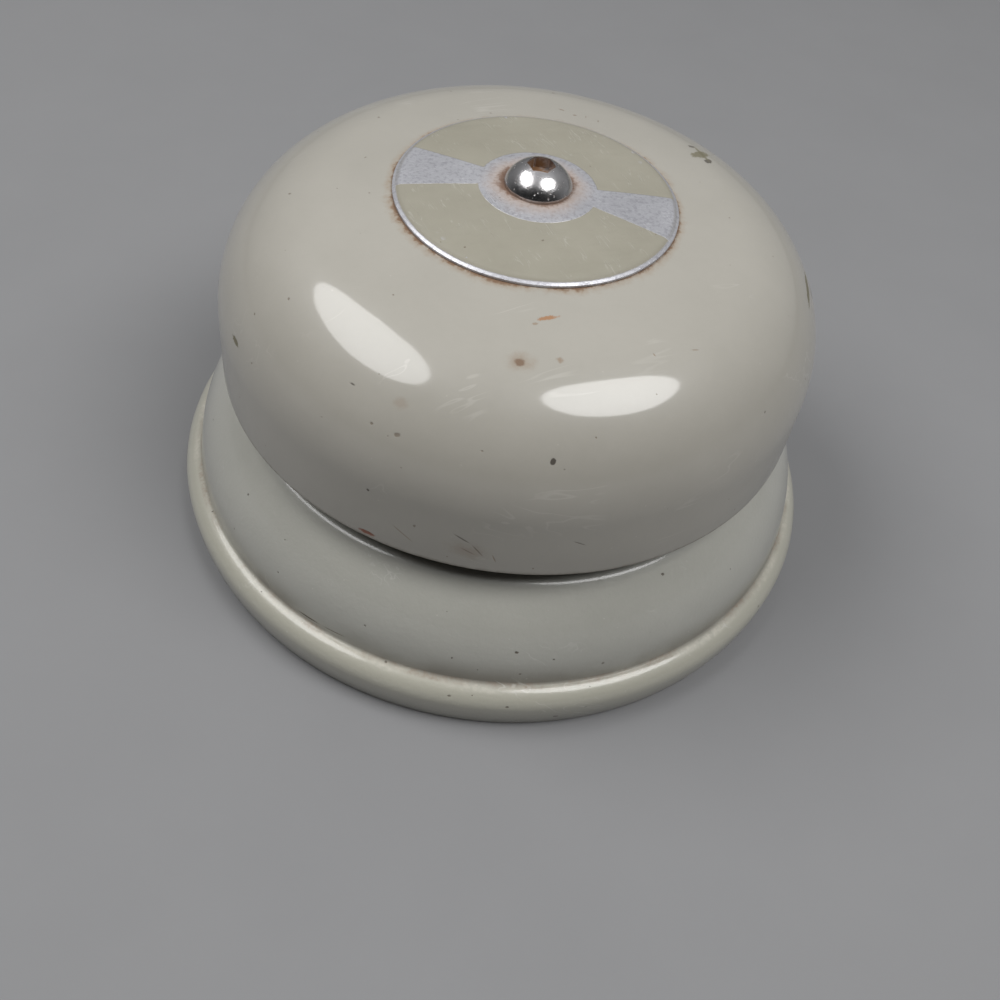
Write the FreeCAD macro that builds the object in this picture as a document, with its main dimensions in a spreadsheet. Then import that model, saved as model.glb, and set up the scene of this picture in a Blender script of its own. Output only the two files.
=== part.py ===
import FreeCAD, Part
import math
import os
import re

import Sketcher

# An under-dome electric bell for a wall box: a drawn steel pan over a mounting
# plate, a trembler mechanism on the pan's top, and a gong held on a centre post
# by one button-head screw. The origin is the middle of the back face, +Z runs
# out of the wall along the bell's axis, and every size is in millimetres.

SIZES = {
    # the gong, a deep drawn dome
    "gong_radius": 50.8,
    "gong_height": 33.9,
    "gong_gauge": 1.8,
    "shoulder_radius": 20.5,
    "crown_radius": 238.0,
    "gong_rim_round": 0.6,
    "rim_gap": 4.5,
    # the pan under it, with its hem
    "pan_height": 27.0,
    "pan_gauge": 1.2,
    "pan_flat_radius": 45.0,
    "pan_shoulder": 5.0,
    "pan_side": 22.0,
    "crease_bend": 0.5,
    "crest_radius": 55.6,
    "crest_height": 9.5,
    "crest_round": 3.4,
    "crest_start": 78,
    "crest_end": -4,
    "hem_radius": 57.6,
    "hem_bulge": 16.7,
    # the mounting plate and its pillars
    "plate_gauge": 1.6,
    "plate_clearance": 0.3,
    "wire_hole_radius": 11.0,
    "box_spacing": 83.34,
    "box_hole_radius": 2.4,
    "pillar_circle": 38.0,
    "pillar_bearing": 38.0,
    "pillar_radius": 4.5,
    "pillar_stub": 2.5,
    "pan_screw_radius": 1.95,
    "pan_screw_length": 14.0,
    "pan_head_radius": 3.6,
    "pan_head_height": 2.4,
    # the grommet for the supply wires
    "grommet_x": -24.0,
    "grommet_y": 30.0,
    "grommet_neck": 5.0,
    "grommet_bore": 3.2,
    "grommet_flange": 6.5,
    "grommet_lip": 1.5,
    # the centre post and what holds it
    "post_radius": 5.0,
    "stud_radius": 4.0,
    "stud_tail": 1.3,
    "lock_washer_radius": 7.0,
    "lock_washer_gauge": 1.6,
    "post_nut_flats": 13.0,
    "post_nut_height": 5.5,
    "gong_washer_radius": 6.0,
    "gong_washer_gauge": 1.0,
    # the disc and the screw on the crown
    "label_radius": 22.9,
    "label_gauge": 0.85,
    "label_bevel": 1.2,
    "label_bevel_drop": 0.45,
    "hub_radius": 9.3,
    "hub_bevel": 0.5,
    "hub_rise": 0.25,
    "gong_screw_radius": 3.0,
    "gong_screw_length": 13.0,
    "button_radius": 5.4,
    "button_height": 4.0,
    "button_edge": 0.5,
    "socket_flats": 4.0,
    "socket_depth": 2.2,
    # the frame and the two coils
    "frame_gauge": 2.5,
    "frame_margin": 2.0,
    "frame_waist": 12.0,
    "frame_screw_x": 13.0,
    "frame_screw_gap": 1.05892,
    "coil_spacing": 30.0,
    "coil_clearance": 0.5,
    "yoke_distance": 14.0,
    "bobbin_length": 27.0,
    "flange_radius": 8.5,
    "flange_gauge": 1.0,
    "bobbin_wall": 0.8,
    "winding_radius": 8.0,
    "core_radius": 3.5,
    "core_tail": 2.2,
    "pole_reach": 2.5,
    # the armature, its pivot and its bracket
    "pole_gap": 0.25,
    "rest_angle": 2.7,
    "armature_gauge": 3.0,
    "armature_width": 12.0,
    "armature_end": 4.0,
    "pivot_clearance": 2.5,
    "pin_radius": 1.5,
    "pin_head_radius": 2.4,
    "pin_head_height": 0.8,
    "knuckle_wall": 1.65,
    "ear_clearance": 0.3,
    "bracket_gauge": 1.5,
    "bracket_width": 10.0,
    "bracket_back": 8.25,
    "bracket_reach": 4.0,
    "tail_length": 8.0,
    "tail_half": 2.5,
    "tail_width": 6.0,
    # the leaf that sends the armature back
    "return_gauge": 0.4,
    "return_width": 6.0,
    "return_flat": 3.5,
    # the striker
    "rod_radius": 1.2,
    "rod_place": 5.5,
    "rod_run": 19.0,
    "rod_bend": 6.0,
    "ball_radius": 3.5,
    "ball_bearing": 17.2,
    "strike_gap": 0.25,
    # the contact set
    "contact_gauge": 0.35,
    "contact_width": 7.0,
    "contact_start": 11.0,
    "contact_flat": 11.0,
    "contact_joggle": 3.0,
    "contact_offset": 1.2,
    "contact_reach": 30.0,
    "contact_radius": 1.7,
    "contact_height": 0.8,
    "contact_gap": 0.15,
    "tip_radius": 1.2,
    "tip_height": 1.0,
    "adjuster_radius": 1.75,
    "adjuster_length": 14.5,
    "adjuster_head_radius": 3.0,
    "adjuster_head_height": 3.0,
    "contact_nut_flats": 6.5,
    "contact_nut_height": 2.4,
    "pillar_distance": 4.5,
    "pillar_depth": 6.0,
    "pillar_width": 8.0,
    "pillar_top": 5.0,
    "foot_width": 19.0,
    "foot_gauge": 2.0,
    "insulator_gauge": 1.5,
    "insulator_border": 1.0,
    "bush_wall": 0.8,
    "bush_lip": 0.6,
    "bush_border": 0.5,
    # small screws and rivets
    "small_screw_radius": 1.25,
    "small_head_radius": 2.1,
    "small_head_height": 1.5,
    "small_screw_grip": 2.5,
    "rivet_radius": 1.0,
    "rivet_head": 1.6,
    "rivet_height": 0.6,
    "slot_width": 0.8,
    "slot_depth": 0.7,
    # the terminal block
    "block_y": 24.0,
    "block_depth": 12.0,
    "block_half": 14.0,
    "block_floor": 6.0,
    "block_wall": 5.0,
    "block_rib": 1.6,
    "terminal_gauge": 0.8,
    "terminal_width": 10.0,
    "terminal_depth": 9.0,
    "terminal_screw_radius": 1.6,
    "terminal_head_radius": 3.0,
    "terminal_head_height": 2.0,
    "terminal_screw_grip": 4.0,
    "block_screw_x": 11.5,
    "block_screw_y": 26.5,
    # the insulated leads
    "lead_radius": 0.7,
    "lead_bend": 2.0,
    "lead_lift": 4.0,
    "lead_pitch": 3.0,
    # clearances
    "seat_gap": 0.05,
    "press_gap": 0.02,
    "thread_gap": 0.05,
    "hole_gap": 0.4,
}

doc = FreeCAD.newDocument("DomeBell")
sheet = doc.addObject("Spreadsheet::Sheet", "Sizes")
for row, (alias, number) in enumerate(SIZES.items(), start=1):
    sheet.set(f"A{row}", alias)
    sheet.set(f"B{row}", str(number))
    sheet.setAlias(f"B{row}", alias)
doc.recompute()

ALONG_X = FreeCAD.Vector(1, 0, 0)
ALONG_Z = FreeCAD.Vector(0, 0, 1)
NODES = []


def link(text):
    """Points each size named in an expression at its cell of the sheet."""
    def cell(found):
        return "Sizes." + found[0] if found[0] in SIZES else found[0]
    return re.sub(r"[a-z]\w*", cell, text)


def value(text):
    """What an expression comes to now."""
    result = sheet.evalExpression(link(text))
    return float(getattr(result, "Value", result))


def new_body(name):
    body = doc.addObject("PartDesign::Body", name)
    body.Label = name
    return body


def keep(piece):
    """Marks a finished sub-part as one that is written out."""
    NODES.append(piece)
    return piece


def place(piece, x="0", y="0", z="0", axis=ALONG_Z, turn="0"):
    """Sets a sub-part's Placement from expressions."""
    piece.Placement.Rotation = FreeCAD.Rotation(axis, 1)
    piece.setExpression("Placement.Rotation.Angle", link(turn))
    for name, text in (("x", x), ("y", y), ("z", z)):
        piece.setExpression("Placement.Base." + name, link(text))
    doc.recompute()
    return piece


def sketch_on(body, role, offset="0"):
    sketch = body.newObject("Sketcher::SketchObject", body.Name + "_sketch")
    plane = [item for item in body.Origin.OriginFeatures if item.Role == role][0]
    sketch.AttachmentSupport = (plane, [""])
    sketch.MapMode = "FlatFace"
    sketch.setExpression("AttachmentOffset.Base.z", link(offset))
    return sketch


def bind(sketch, kind, where, text):
    """Adds one dimension to a sketch and ties it to the sheet."""
    number = sketch.addConstraint(Sketcher.Constraint(kind, *where, value(text)))
    if text != "0":
        sketch.setExpression(f"Constraints[{number}]", link(text))


def draw_circle(sketch, x, y, radius):
    centre = FreeCAD.Vector(value(x), value(y), 0)
    index = sketch.addGeometry(Part.Circle(centre, ALONG_Z, value(radius)), False)
    bind(sketch, "DistanceX", (index, 3), x)
    bind(sketch, "DistanceY", (index, 3), y)
    bind(sketch, "Radius", (index,), radius)


def draw_outline(sketch, corners):
    """Draws a closed outline. A corner is (x, y), and the edge that leaves it is
    straight, or (x, y, turn, radius), and it is an arc that turns left or right."""
    first = sketch.GeometryCount
    points = [FreeCAD.Vector(value(item[0]), value(item[1]), 0) for item in corners]
    ends = []
    for number, corner in enumerate(corners):
        start = points[number]
        end = points[(number + 1) % len(corners)]
        if len(corner) == 2:
            sketch.addGeometry(Part.LineSegment(start, end), False)
            ends.append((1, 2))
            continue
        left = corner[2] == "left"
        if not left:
            start, end = end, start
        half = (end - start) * 0.5
        radius = value(corner[3])
        aside = FreeCAD.Vector(-half.y, half.x, 0).normalize()
        centre = start + half + aside * math.sqrt(radius ** 2 - half.Length ** 2)
        angles = [math.atan2(point.y - centre.y, point.x - centre.x) for point in (start, end)]
        circle = Part.Circle(centre, ALONG_Z, radius)
        sketch.addGeometry(Part.ArcOfCircle(circle, *angles), False)
        ends.append((1, 2) if left else (2, 1))
    for number, corner in enumerate(corners):
        index = first + number
        after = (number + 1) % len(corners)
        meeting = (index, ends[number][1], first + after, ends[after][0])
        sketch.addConstraint(Sketcher.Constraint("Coincident", *meeting))
        bind(sketch, "DistanceX", (index, ends[number][0]), corner[0])
        bind(sketch, "DistanceY", (index, ends[number][0]), corner[1])
        if len(corner) == 4:
            bind(sketch, "Radius", (index,), corner[3])


def revolve(body, corners, axis="V_Axis"):
    """Turns an outline in the XZ plane about the body's Z axis, or its X axis."""
    sketch = sketch_on(body, "XZ_Plane")
    draw_outline(sketch, corners)
    feature = body.newObject("PartDesign::Revolution", body.Name + "_turned")
    feature.Profile = sketch
    feature.ReferenceAxis = (sketch, [axis])
    feature.Angle = 360
    doc.recompute()
    return feature


def pad(body, role, offset, length, outlines=(), circles=()):
    """Pads outlines and circles from a plane, along its normal."""
    sketch = sketch_on(body, role, offset)
    for corners in outlines:
        draw_outline(sketch, corners)
    for circle in circles:
        draw_circle(sketch, *circle)
    feature = body.newObject("PartDesign::Pad", body.Name + "_pad")
    feature.Profile = sketch
    feature.setExpression("Length", link(length))
    doc.recompute()
    return feature


def cut(body, role, offset, outlines=(), circles=(), depth=None, upward=False):
    """Cuts against the plane's normal, right through unless a depth is given."""
    before = body.Shape.Volume
    sketch = sketch_on(body, role, offset)
    for corners in outlines:
        draw_outline(sketch, corners)
    for circle in circles:
        draw_circle(sketch, *circle)
    feature = body.newObject("PartDesign::Pocket", body.Name + "_cut")
    feature.Profile = sketch
    feature.Reversed = upward
    if depth is None:
        feature.Type = "ThroughAll"
    else:
        feature.setExpression("Length", link(depth))
    doc.recompute()
    if body.Shape.Volume >= before:
        raise RuntimeError(f"{body.Label}: the cut takes nothing away")
    return feature


def round_edges(body, radius, chosen):
    """Rounds the edges of a body that the test picks."""
    names = [f"Edge{number}" for number, edge in enumerate(body.Shape.Edges, start=1) if chosen(edge)]
    base = body.Tip
    feature = body.newObject("PartDesign::Fillet", body.Name + "_round")
    feature.Base = (base, names)
    feature.setExpression("Radius", link(radius))
    doc.recompute()
    return feature


def rectangle(left, bottom, right, top):
    return [(left, bottom), (right, bottom), (right, top), (left, top)]


def hexagon(flats):
    """Corners of a hexagon about the origin, from its width across the flats."""
    corner = f"({flats} / 2 / cos(30))"
    return [(f"{corner} * cos({60 * step})", f"{corner} * sin({60 * step})") for step in range(6)]


def group(name, pieces):
    """Keeps like pieces together as separate solids of one sub-part."""
    together = doc.addObject("Part::Compound", name)
    together.Label = name
    together.Links = pieces
    doc.recompute()
    return keep(together)


def slotted_screw(name, radius, length, head_radius, head_height):
    """A round-head screw whose seat is at z = 0, with its shank below."""
    body = new_body(name)
    dome = f"(({head_radius}^2 + ({head_height} - slot_width)^2) / 2 / ({head_height} - slot_width))"
    revolve(body, [
        ("0", f"-({length})"),
        (radius, f"-({length})"),
        (radius, "0"),
        (head_radius, "0"),
        (head_radius, "slot_width", "left", dome),
        ("0", head_height),
    ])
    slot = rectangle(f"-{head_radius}", "-slot_width / 2", head_radius, "slot_width / 2")
    cut(body, "XY_Plane", head_height, outlines=[slot], depth="slot_depth")
    return body


def rivet(name, length):
    """A rivet whose head stands on z = 0, with its shank below."""
    body = new_body(name)
    dome = "((rivet_head^2 + rivet_height^2) / 2 / rivet_height)"
    revolve(body, [
        ("0", f"-({length})"),
        ("rivet_radius", f"-({length})"),
        ("rivet_radius", "0"),
        ("rivet_head", "0", "left", dome),
        ("0", "rivet_height"),
    ])
    return body


def hex_nut(name, flats, height, bore):
    body = new_body(name)
    pad(body, "XY_Plane", "0", height, outlines=[hexagon(flats)], circles=[("0", "0", bore)])
    return body


def rod_along(name, points, radius, bend):
    """A round rod through points given as expressions, with equal bends."""
    stops = [FreeCAD.Vector(*[value(text) for text in point]) for point in points]
    edges = []
    start = stops[0]
    for before, corner, after in zip(stops, stops[1:], stops[2:]):
        back = (before - corner).normalize()
        ahead = (after - corner).normalize()
        half_turn = (math.pi - back.getAngle(ahead)) / 2
        reach = value(bend) * math.tan(half_turn)
        arc_start = corner + back * reach
        arc_end = corner + ahead * reach
        middle = (back + ahead).normalize()
        sagitta = value(bend) * (1 / math.cos(half_turn) - 1)
        edges.append(Part.LineSegment(start, arc_start).toShape())
        edges.append(Part.Arc(arc_start, corner + middle * sagitta, arc_end).toShape())
        start = arc_end
    edges.append(Part.LineSegment(start, stops[-1]).toShape())
    path = Part.Wire(edges)
    ring = Part.Wire(Part.makeCircle(value(radius), stops[0], stops[1] - stops[0]))
    piece = doc.addObject("Part::Feature", name)
    piece.Label = name
    piece.Shape = path.makePipeShell([ring], True, False)
    expected = math.pi * value(radius) ** 2 * path.Length
    if abs(piece.Shape.Volume / expected - 1) > 0.01:
        raise RuntimeError(f"{name}: its volume isn't its section times its length")
    return piece


# heights and places that several pieces share
PAN_UNDER = "(pan_height - pan_gauge)"
FRAME_TOP = "(pan_height + frame_gauge)"
AXIS_HEIGHT = "(pan_height + frame_gauge + coil_clearance + flange_radius)"
RIM = "(pan_height + rim_gap)"
CROWN = "(pan_height + rim_gap + gong_height)"
CROWN_CENTRE = f"({CROWN} - crown_radius)"
GONG_HOLE = "(gong_screw_radius + hole_gap)"
HUB_TOP = f"({CROWN} + seat_gap + label_gauge + hub_rise)"
POST_TOP = f"({CROWN} - gong_gauge - gong_washer_gauge - 2 * seat_gap)"
BACK = "(yoke_distance + frame_gauge)"
POLE = "(yoke_distance - bobbin_length - pole_reach)"
ARMATURE_Y = f"({POLE} - pole_gap - armature_gauge / 2)"
PIVOT_X = "(coil_spacing / 2 + flange_radius + pivot_clearance)"
CONTACT_FACE = "(armature_gauge / 2 + contact_offset + contact_gauge + contact_height)"
CONTACT_X = f"({PIVOT_X} - contact_reach * cos(rest_angle) + {CONTACT_FACE} * sin(rest_angle))"
CONTACT_Y = (f"({ARMATURE_Y} - contact_reach * sin(rest_angle)"
             f" - {CONTACT_FACE} * cos(rest_angle) - contact_gap)")
PILLAR_FRONT = f"({CONTACT_Y} - pillar_distance)"
PILLAR_MIDDLE = f"({PILLAR_FRONT} - pillar_depth / 2)"
FOOT_HEIGHT = f"({FRAME_TOP} + insulator_gauge)"
FOOT_SCREW = "(foot_width / 2 - small_head_radius - bush_border)"
EAR_HALF = "(coil_clearance + flange_radius - bracket_gauge)"
EAR_LOW = f"({AXIS_HEIGHT} - {EAR_HALF})"
EAR_HIGH = f"({AXIS_HEIGHT} + {EAR_HALF})"
BRACKET_WALL = f"({ARMATURE_Y} - bracket_back + bracket_gauge)"
PILLAR_PLACES = [
    ("pillar_circle * cos(pillar_bearing)", "pillar_circle * sin(pillar_bearing)"),
    ("-pillar_circle * cos(pillar_bearing)", "-pillar_circle * sin(pillar_bearing)"),
]
FRAME_SCREW_Y = (f"({PILLAR_MIDDLE} + pillar_depth / 2 + insulator_border"
                 " + small_head_radius + frame_screw_gap)")
FRAME_SCREWS = [("-frame_screw_x", FRAME_SCREW_Y), ("frame_screw_x", FRAME_SCREW_Y)]
FOOT_SCREWS = [(f"{CONTACT_X} + {side}{FOOT_SCREW}", PILLAR_MIDDLE) for side in ("-", "")]
BRACKET_RIVETS = [
    (f"{PIVOT_X} + {side}(bracket_width / 2 - rivet_head)", f"{BRACKET_WALL} + rivet_head")
    for side in ("-", "")
]
BLOCK_SCREWS = [("-block_screw_x", "block_screw_y"), ("block_screw_x", "block_screw_y")]
TERMINAL_X = "(block_half / 2 - block_rib / 4)"
TERMINAL_Y = "(block_y + block_depth / 2)"
BLOCK_FLOOR = "(pan_height + block_floor)"

# The gong: one skin line for its outside and the same line a gauge further in.
def gong_skin(depth):
    crown = f"(crown_radius - {depth})"
    side = "(gong_radius - shoulder_radius)"
    rise = f"sqrt((crown_radius - shoulder_radius)^2 - {side}^2)"
    share = f"({crown} / (crown_radius - shoulder_radius))"
    return {
        "hole": (GONG_HOLE, f"{CROWN_CENTRE} + sqrt({crown}^2 - {GONG_HOLE}^2)"),
        "shoulder": (f"{side} * {share}", f"{CROWN_CENTRE} + {rise} * {share}"),
        "wall": (f"gong_radius - {depth}", f"{CROWN_CENTRE} + {rise}"),
        "rim": (f"gong_radius - {depth}", RIM),
    }


outside = gong_skin("0")
inside = gong_skin("gong_gauge")
gong = keep(new_body("gong"))
revolve(gong, [
    (*outside["hole"], "right", "crown_radius"),
    (*outside["shoulder"], "right", "shoulder_radius"),
    outside["wall"],
    outside["rim"],
    inside["rim"],
    (*inside["wall"], "left", "(shoulder_radius - gong_gauge)"),
    (*inside["shoulder"], "left", "(crown_radius - gong_gauge)"),
    inside["hole"],
])
round_edges(gong, "gong_rim_round",
            lambda edge: abs(edge.BoundBox.ZMax - value(RIM)) < value("seat_gap"))

# The disc on the crown follows the dome and has a raised flat hub for the screw.
def disc_height(rise, radius):
    return f"{CROWN_CENTRE} + sqrt((crown_radius + {rise})^2 - ({radius})^2)"


LABEL_TOP = "(seat_gap + label_gauge)"
label = keep(new_body("label_plate"))
revolve(label, [
    (GONG_HOLE, disc_height("seat_gap", GONG_HOLE), "right", "(crown_radius + seat_gap)"),
    ("label_radius", disc_height("seat_gap", "label_radius")),
    ("label_radius", disc_height("seat_gap", "label_radius") + " + label_gauge - label_bevel_drop"),
    ("label_radius - label_bevel", disc_height(LABEL_TOP, "label_radius - label_bevel"),
     "left", f"(crown_radius + {LABEL_TOP})"),
    ("hub_radius", disc_height(LABEL_TOP, "hub_radius")),
    ("hub_radius - hub_bevel", HUB_TOP),
    (GONG_HOLE, HUB_TOP),
])

# The button-head screw that clamps disc and gong to the post.
gong_screw = keep(new_body("gong_screw"))
BUTTON_RISE = "(button_height - button_edge)"
revolve(gong_screw, [
    ("0", "-gong_screw_length"),
    ("gong_screw_radius", "-gong_screw_length"),
    ("gong_screw_radius", "0"),
    ("button_radius", "0"),
    ("button_radius", "button_edge", "left", f"((button_radius^2 + {BUTTON_RISE}^2) / 2 / {BUTTON_RISE})"),
    ("0", "button_height"),
])
cut(gong_screw, "XY_Plane", "button_height", outlines=[hexagon("socket_flats")], depth="socket_depth")
place(gong_screw, z=HUB_TOP)

# The pan: a flat top, a rounded shoulder, a bowed side, a crease and a rolled hem.
# Each arc runs smoothly into the next, so the middle of the side's arc lies as
# far from the shoulder's and the crease's middles as their radii say.
CREASE = "(crest_radius + (crest_round + crease_bend) * cos(crest_start))"
CREASE_UP = "(crest_height - crest_round + (crest_round + crease_bend) * sin(crest_start))"
PAN_ACROSS = f"({CREASE} - pan_flat_radius)"
PAN_DROP = f"({CREASE_UP} - pan_height + pan_shoulder)"
PAN_APART = f"hypot({PAN_ACROSS}; {PAN_DROP})"
PAN_UPPER = "(pan_side - pan_shoulder)"
PAN_LOWER = "(pan_side + crease_bend)"
SIDE_TOP = (f"(180 deg + atan2({PAN_DROP}; {PAN_ACROSS})"
            f" - acos(({PAN_UPPER}^2 + {PAN_APART}^2 - {PAN_LOWER}^2) / 2 / {PAN_UPPER} / {PAN_APART}))")
SIDE_FOOT = (f"(atan2({PAN_DROP}; {PAN_ACROSS})"
             f" + acos(({PAN_LOWER}^2 + {PAN_APART}^2 - {PAN_UPPER}^2) / 2 / {PAN_LOWER} / {PAN_APART}))")


def on_arc(across, up, radius, angle):
    """The point of an arc at an angle from outwards."""
    return f"{across} + {radius} * cos({angle})", f"{up} + {radius} * sin({angle})"


def pan_skin(depth):
    """The corners of the pan's outline this deep below its outside."""
    hem = ("crest_radius", "(crest_height - crest_round)", f"(crest_round - {depth})")
    return {
        "hole": ("stud_radius + hole_gap", f"pan_height - {depth}"),
        "flat": ("pan_flat_radius", f"pan_height - {depth}"),
        "side_top": on_arc("pan_flat_radius", "(pan_height - pan_shoulder)",
                           f"(pan_shoulder - {depth})", SIDE_TOP),
        "side_foot": on_arc(CREASE, CREASE_UP, f"(crease_bend + {depth})", f"(180 deg + {SIDE_FOOT})"),
        "crest": on_arc(*hem, "crest_start"),
        "bulge": on_arc(*hem, "crest_end"),
        "foot": (f"hem_radius - {depth}", "0"),
    }


outside = pan_skin("0")
inside = pan_skin("pan_gauge")
pan = keep(new_body("base_pan"))
revolve(pan, [
    outside["hole"],
    (*outside["flat"], "right", "pan_shoulder"),
    (*outside["side_top"], "right", "pan_side"),
    (*outside["side_foot"], "left", "crease_bend"),
    (*outside["crest"], "right", "crest_round"),
    (*outside["bulge"], "right", "hem_bulge"),
    outside["foot"],
    (*inside["foot"], "left", "(hem_bulge - pan_gauge)"),
    (*inside["bulge"], "left", "(crest_round - pan_gauge)"),
    (*inside["crest"], "right", "(crease_bend + pan_gauge)"),
    (*inside["side_foot"], "left", "(pan_side - pan_gauge)"),
    (*inside["side_top"], "left", "(pan_shoulder - pan_gauge)"),
    inside["flat"],
    inside["hole"],
])
cut(pan, "XY_Plane", "pan_height", circles=[
    ("grommet_x", "grommet_y", "grommet_neck + seat_gap"),
    *[(*spot, "pan_screw_radius + hole_gap") for spot in PILLAR_PLACES],
    *[(*spot, "small_screw_radius + thread_gap") for spot in FRAME_SCREWS + FOOT_SCREWS + BLOCK_SCREWS],
])

# The mounting plate that goes on the wall box, with two pillars riveted to it.
plate = keep(new_body("mounting_plate"))
pad(plate, "XY_Plane", "0", "plate_gauge", circles=[
    ("0", "0", "hem_radius - pan_gauge - plate_clearance"),
    ("0", "0", "wire_hole_radius"),
    ("0", "box_spacing / 2", "box_hole_radius"),
    ("0", "-box_spacing / 2", "box_hole_radius"),
    *[(*spot, "pillar_stub + press_gap") for spot in PILLAR_PLACES],
])


def plate_pillar(number):
    body = new_body(f"pillar_{number}")
    depth = f"({PAN_UNDER} - pan_screw_length)"
    revolve(body, [
        ("0", "0"),
        ("pillar_stub", "0"),
        ("pillar_stub", "plate_gauge"),
        ("pillar_radius", "plate_gauge"),
        ("pillar_radius", PAN_UNDER),
        ("pan_screw_radius + thread_gap", PAN_UNDER),
        ("pan_screw_radius + thread_gap", depth),
        ("0", depth),
    ])
    return place(body, *PILLAR_PLACES[number])


def pan_screw(number):
    body = slotted_screw(f"pan_screw_{number}", "pan_screw_radius", "pan_screw_length",
                         "pan_head_radius", "pan_head_height")
    return place(body, *PILLAR_PLACES[number], "pan_height", turn="pillar_bearing")


group("plate_pillars", [plate_pillar(number) for number in range(2)])
group("pan_screws", [pan_screw(number) for number in range(2)])

grommet = keep(new_body("wire_grommet"))
revolve(grommet, [
    ("grommet_bore", f"{PAN_UNDER} - grommet_lip"),
    ("grommet_flange", f"{PAN_UNDER} - grommet_lip"),
    ("grommet_flange", PAN_UNDER),
    ("grommet_neck", PAN_UNDER),
    ("grommet_neck", "pan_height"),
    ("grommet_flange", "pan_height"),
    ("grommet_flange", "pan_height + grommet_lip"),
    ("grommet_bore", "pan_height + grommet_lip"),
])
place(grommet, "grommet_x", "grommet_y")

# The centre post, clamped through frame and pan by a nut from below.
WASHER_LOW = f"({PAN_UNDER} - lock_washer_gauge)"
NUT_LOW = f"({WASHER_LOW} - post_nut_height)"
SCREW_BORE = "(gong_screw_radius + thread_gap)"
BORE_LOW = f"({HUB_TOP} - gong_screw_length - stud_tail)"
post = keep(new_body("gong_post"))
revolve(post, [
    ("0", f"{NUT_LOW} - stud_tail"),
    ("stud_radius", f"{NUT_LOW} - stud_tail"),
    ("stud_radius", FRAME_TOP),
    ("post_radius", FRAME_TOP),
    ("post_radius", POST_TOP),
    (SCREW_BORE, POST_TOP),
    (SCREW_BORE, BORE_LOW),
    ("0", BORE_LOW),
])

lock_washer = keep(new_body("post_washer"))
pad(lock_washer, "XY_Plane", WASHER_LOW, "lock_washer_gauge",
    circles=[("0", "0", "lock_washer_radius"), ("0", "0", "stud_radius + seat_gap")])
post_nut = keep(hex_nut("post_nut", "post_nut_flats", "post_nut_height", "stud_radius + thread_gap"))
place(post_nut, z=NUT_LOW)

gong_washer = keep(new_body("gong_washer"))
pad(gong_washer, "XY_Plane", POST_TOP, "gong_washer_gauge",
    circles=[("0", "0", "gong_washer_radius"), ("0", "0", SCREW_BORE)])

# The magnet frame: a base plate on the pan and a yoke bent up behind the coils.
FRAME_SIDE = "(coil_spacing / 2 + flange_radius + frame_margin)"
FRAME_FRONT = f"({PILLAR_MIDDLE} - pillar_depth / 2 - insulator_border - frame_margin)"
FRAME_NOSE = "(foot_width / 2 + insulator_border + frame_margin / 2)"
FRAME_RIGHT = f"({PIVOT_X} + bracket_width / 2 + frame_margin / 2)"
FRAME_BEND = f"({BRACKET_WALL} - bracket_gauge - frame_margin / 2)"
YOKE_HALF = "(coil_spacing / 2 + flange_radius)"
COIL_SIDES = ("-", "")
frame = keep(new_body("magnet_frame"))
pad(frame, "XY_Plane", "pan_height", "frame_gauge",
    outlines=[[
        (f"-{FRAME_SIDE}", BACK),
        (f"-{FRAME_SIDE}", "-frame_waist"),
        (f"{CONTACT_X} - {FRAME_NOSE}", FRAME_FRONT),
        (f"{CONTACT_X} + {FRAME_NOSE}", FRAME_FRONT),
        (FRAME_RIGHT, FRAME_BEND),
        (FRAME_RIGHT, "-frame_waist"),
        (FRAME_SIDE, BACK),
    ]],
    circles=[
        ("0", "0", "stud_radius + seat_gap"),
        *[(*spot, "small_screw_radius + press_gap") for spot in FRAME_SCREWS + FOOT_SCREWS],
        *[(*spot, "rivet_radius + press_gap") for spot in BRACKET_RIVETS],
    ])
pad(frame, "XZ_Plane", f"-{BACK}", "frame_gauge",
    outlines=[rectangle(f"-{YOKE_HALF}", "pan_height", YOKE_HALF, f"{AXIS_HEIGHT} + flange_radius")])
cut(frame, "XZ_Plane", f"-{POLE}", depth="bobbin_length + pole_reach + 2 * frame_gauge",
    circles=[(f"{side}coil_spacing / 2", AXIS_HEIGHT, "core_tail + press_gap") for side in COIL_SIDES])


def frame_screw(number):
    body = slotted_screw(f"frame_screw_{number}", "small_screw_radius", "frame_gauge + small_screw_grip",
                         "small_head_radius", "small_head_height")
    return place(body, *FRAME_SCREWS[number], FRAME_TOP)


group("frame_screws", [frame_screw(number) for number in range(2)])

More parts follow.
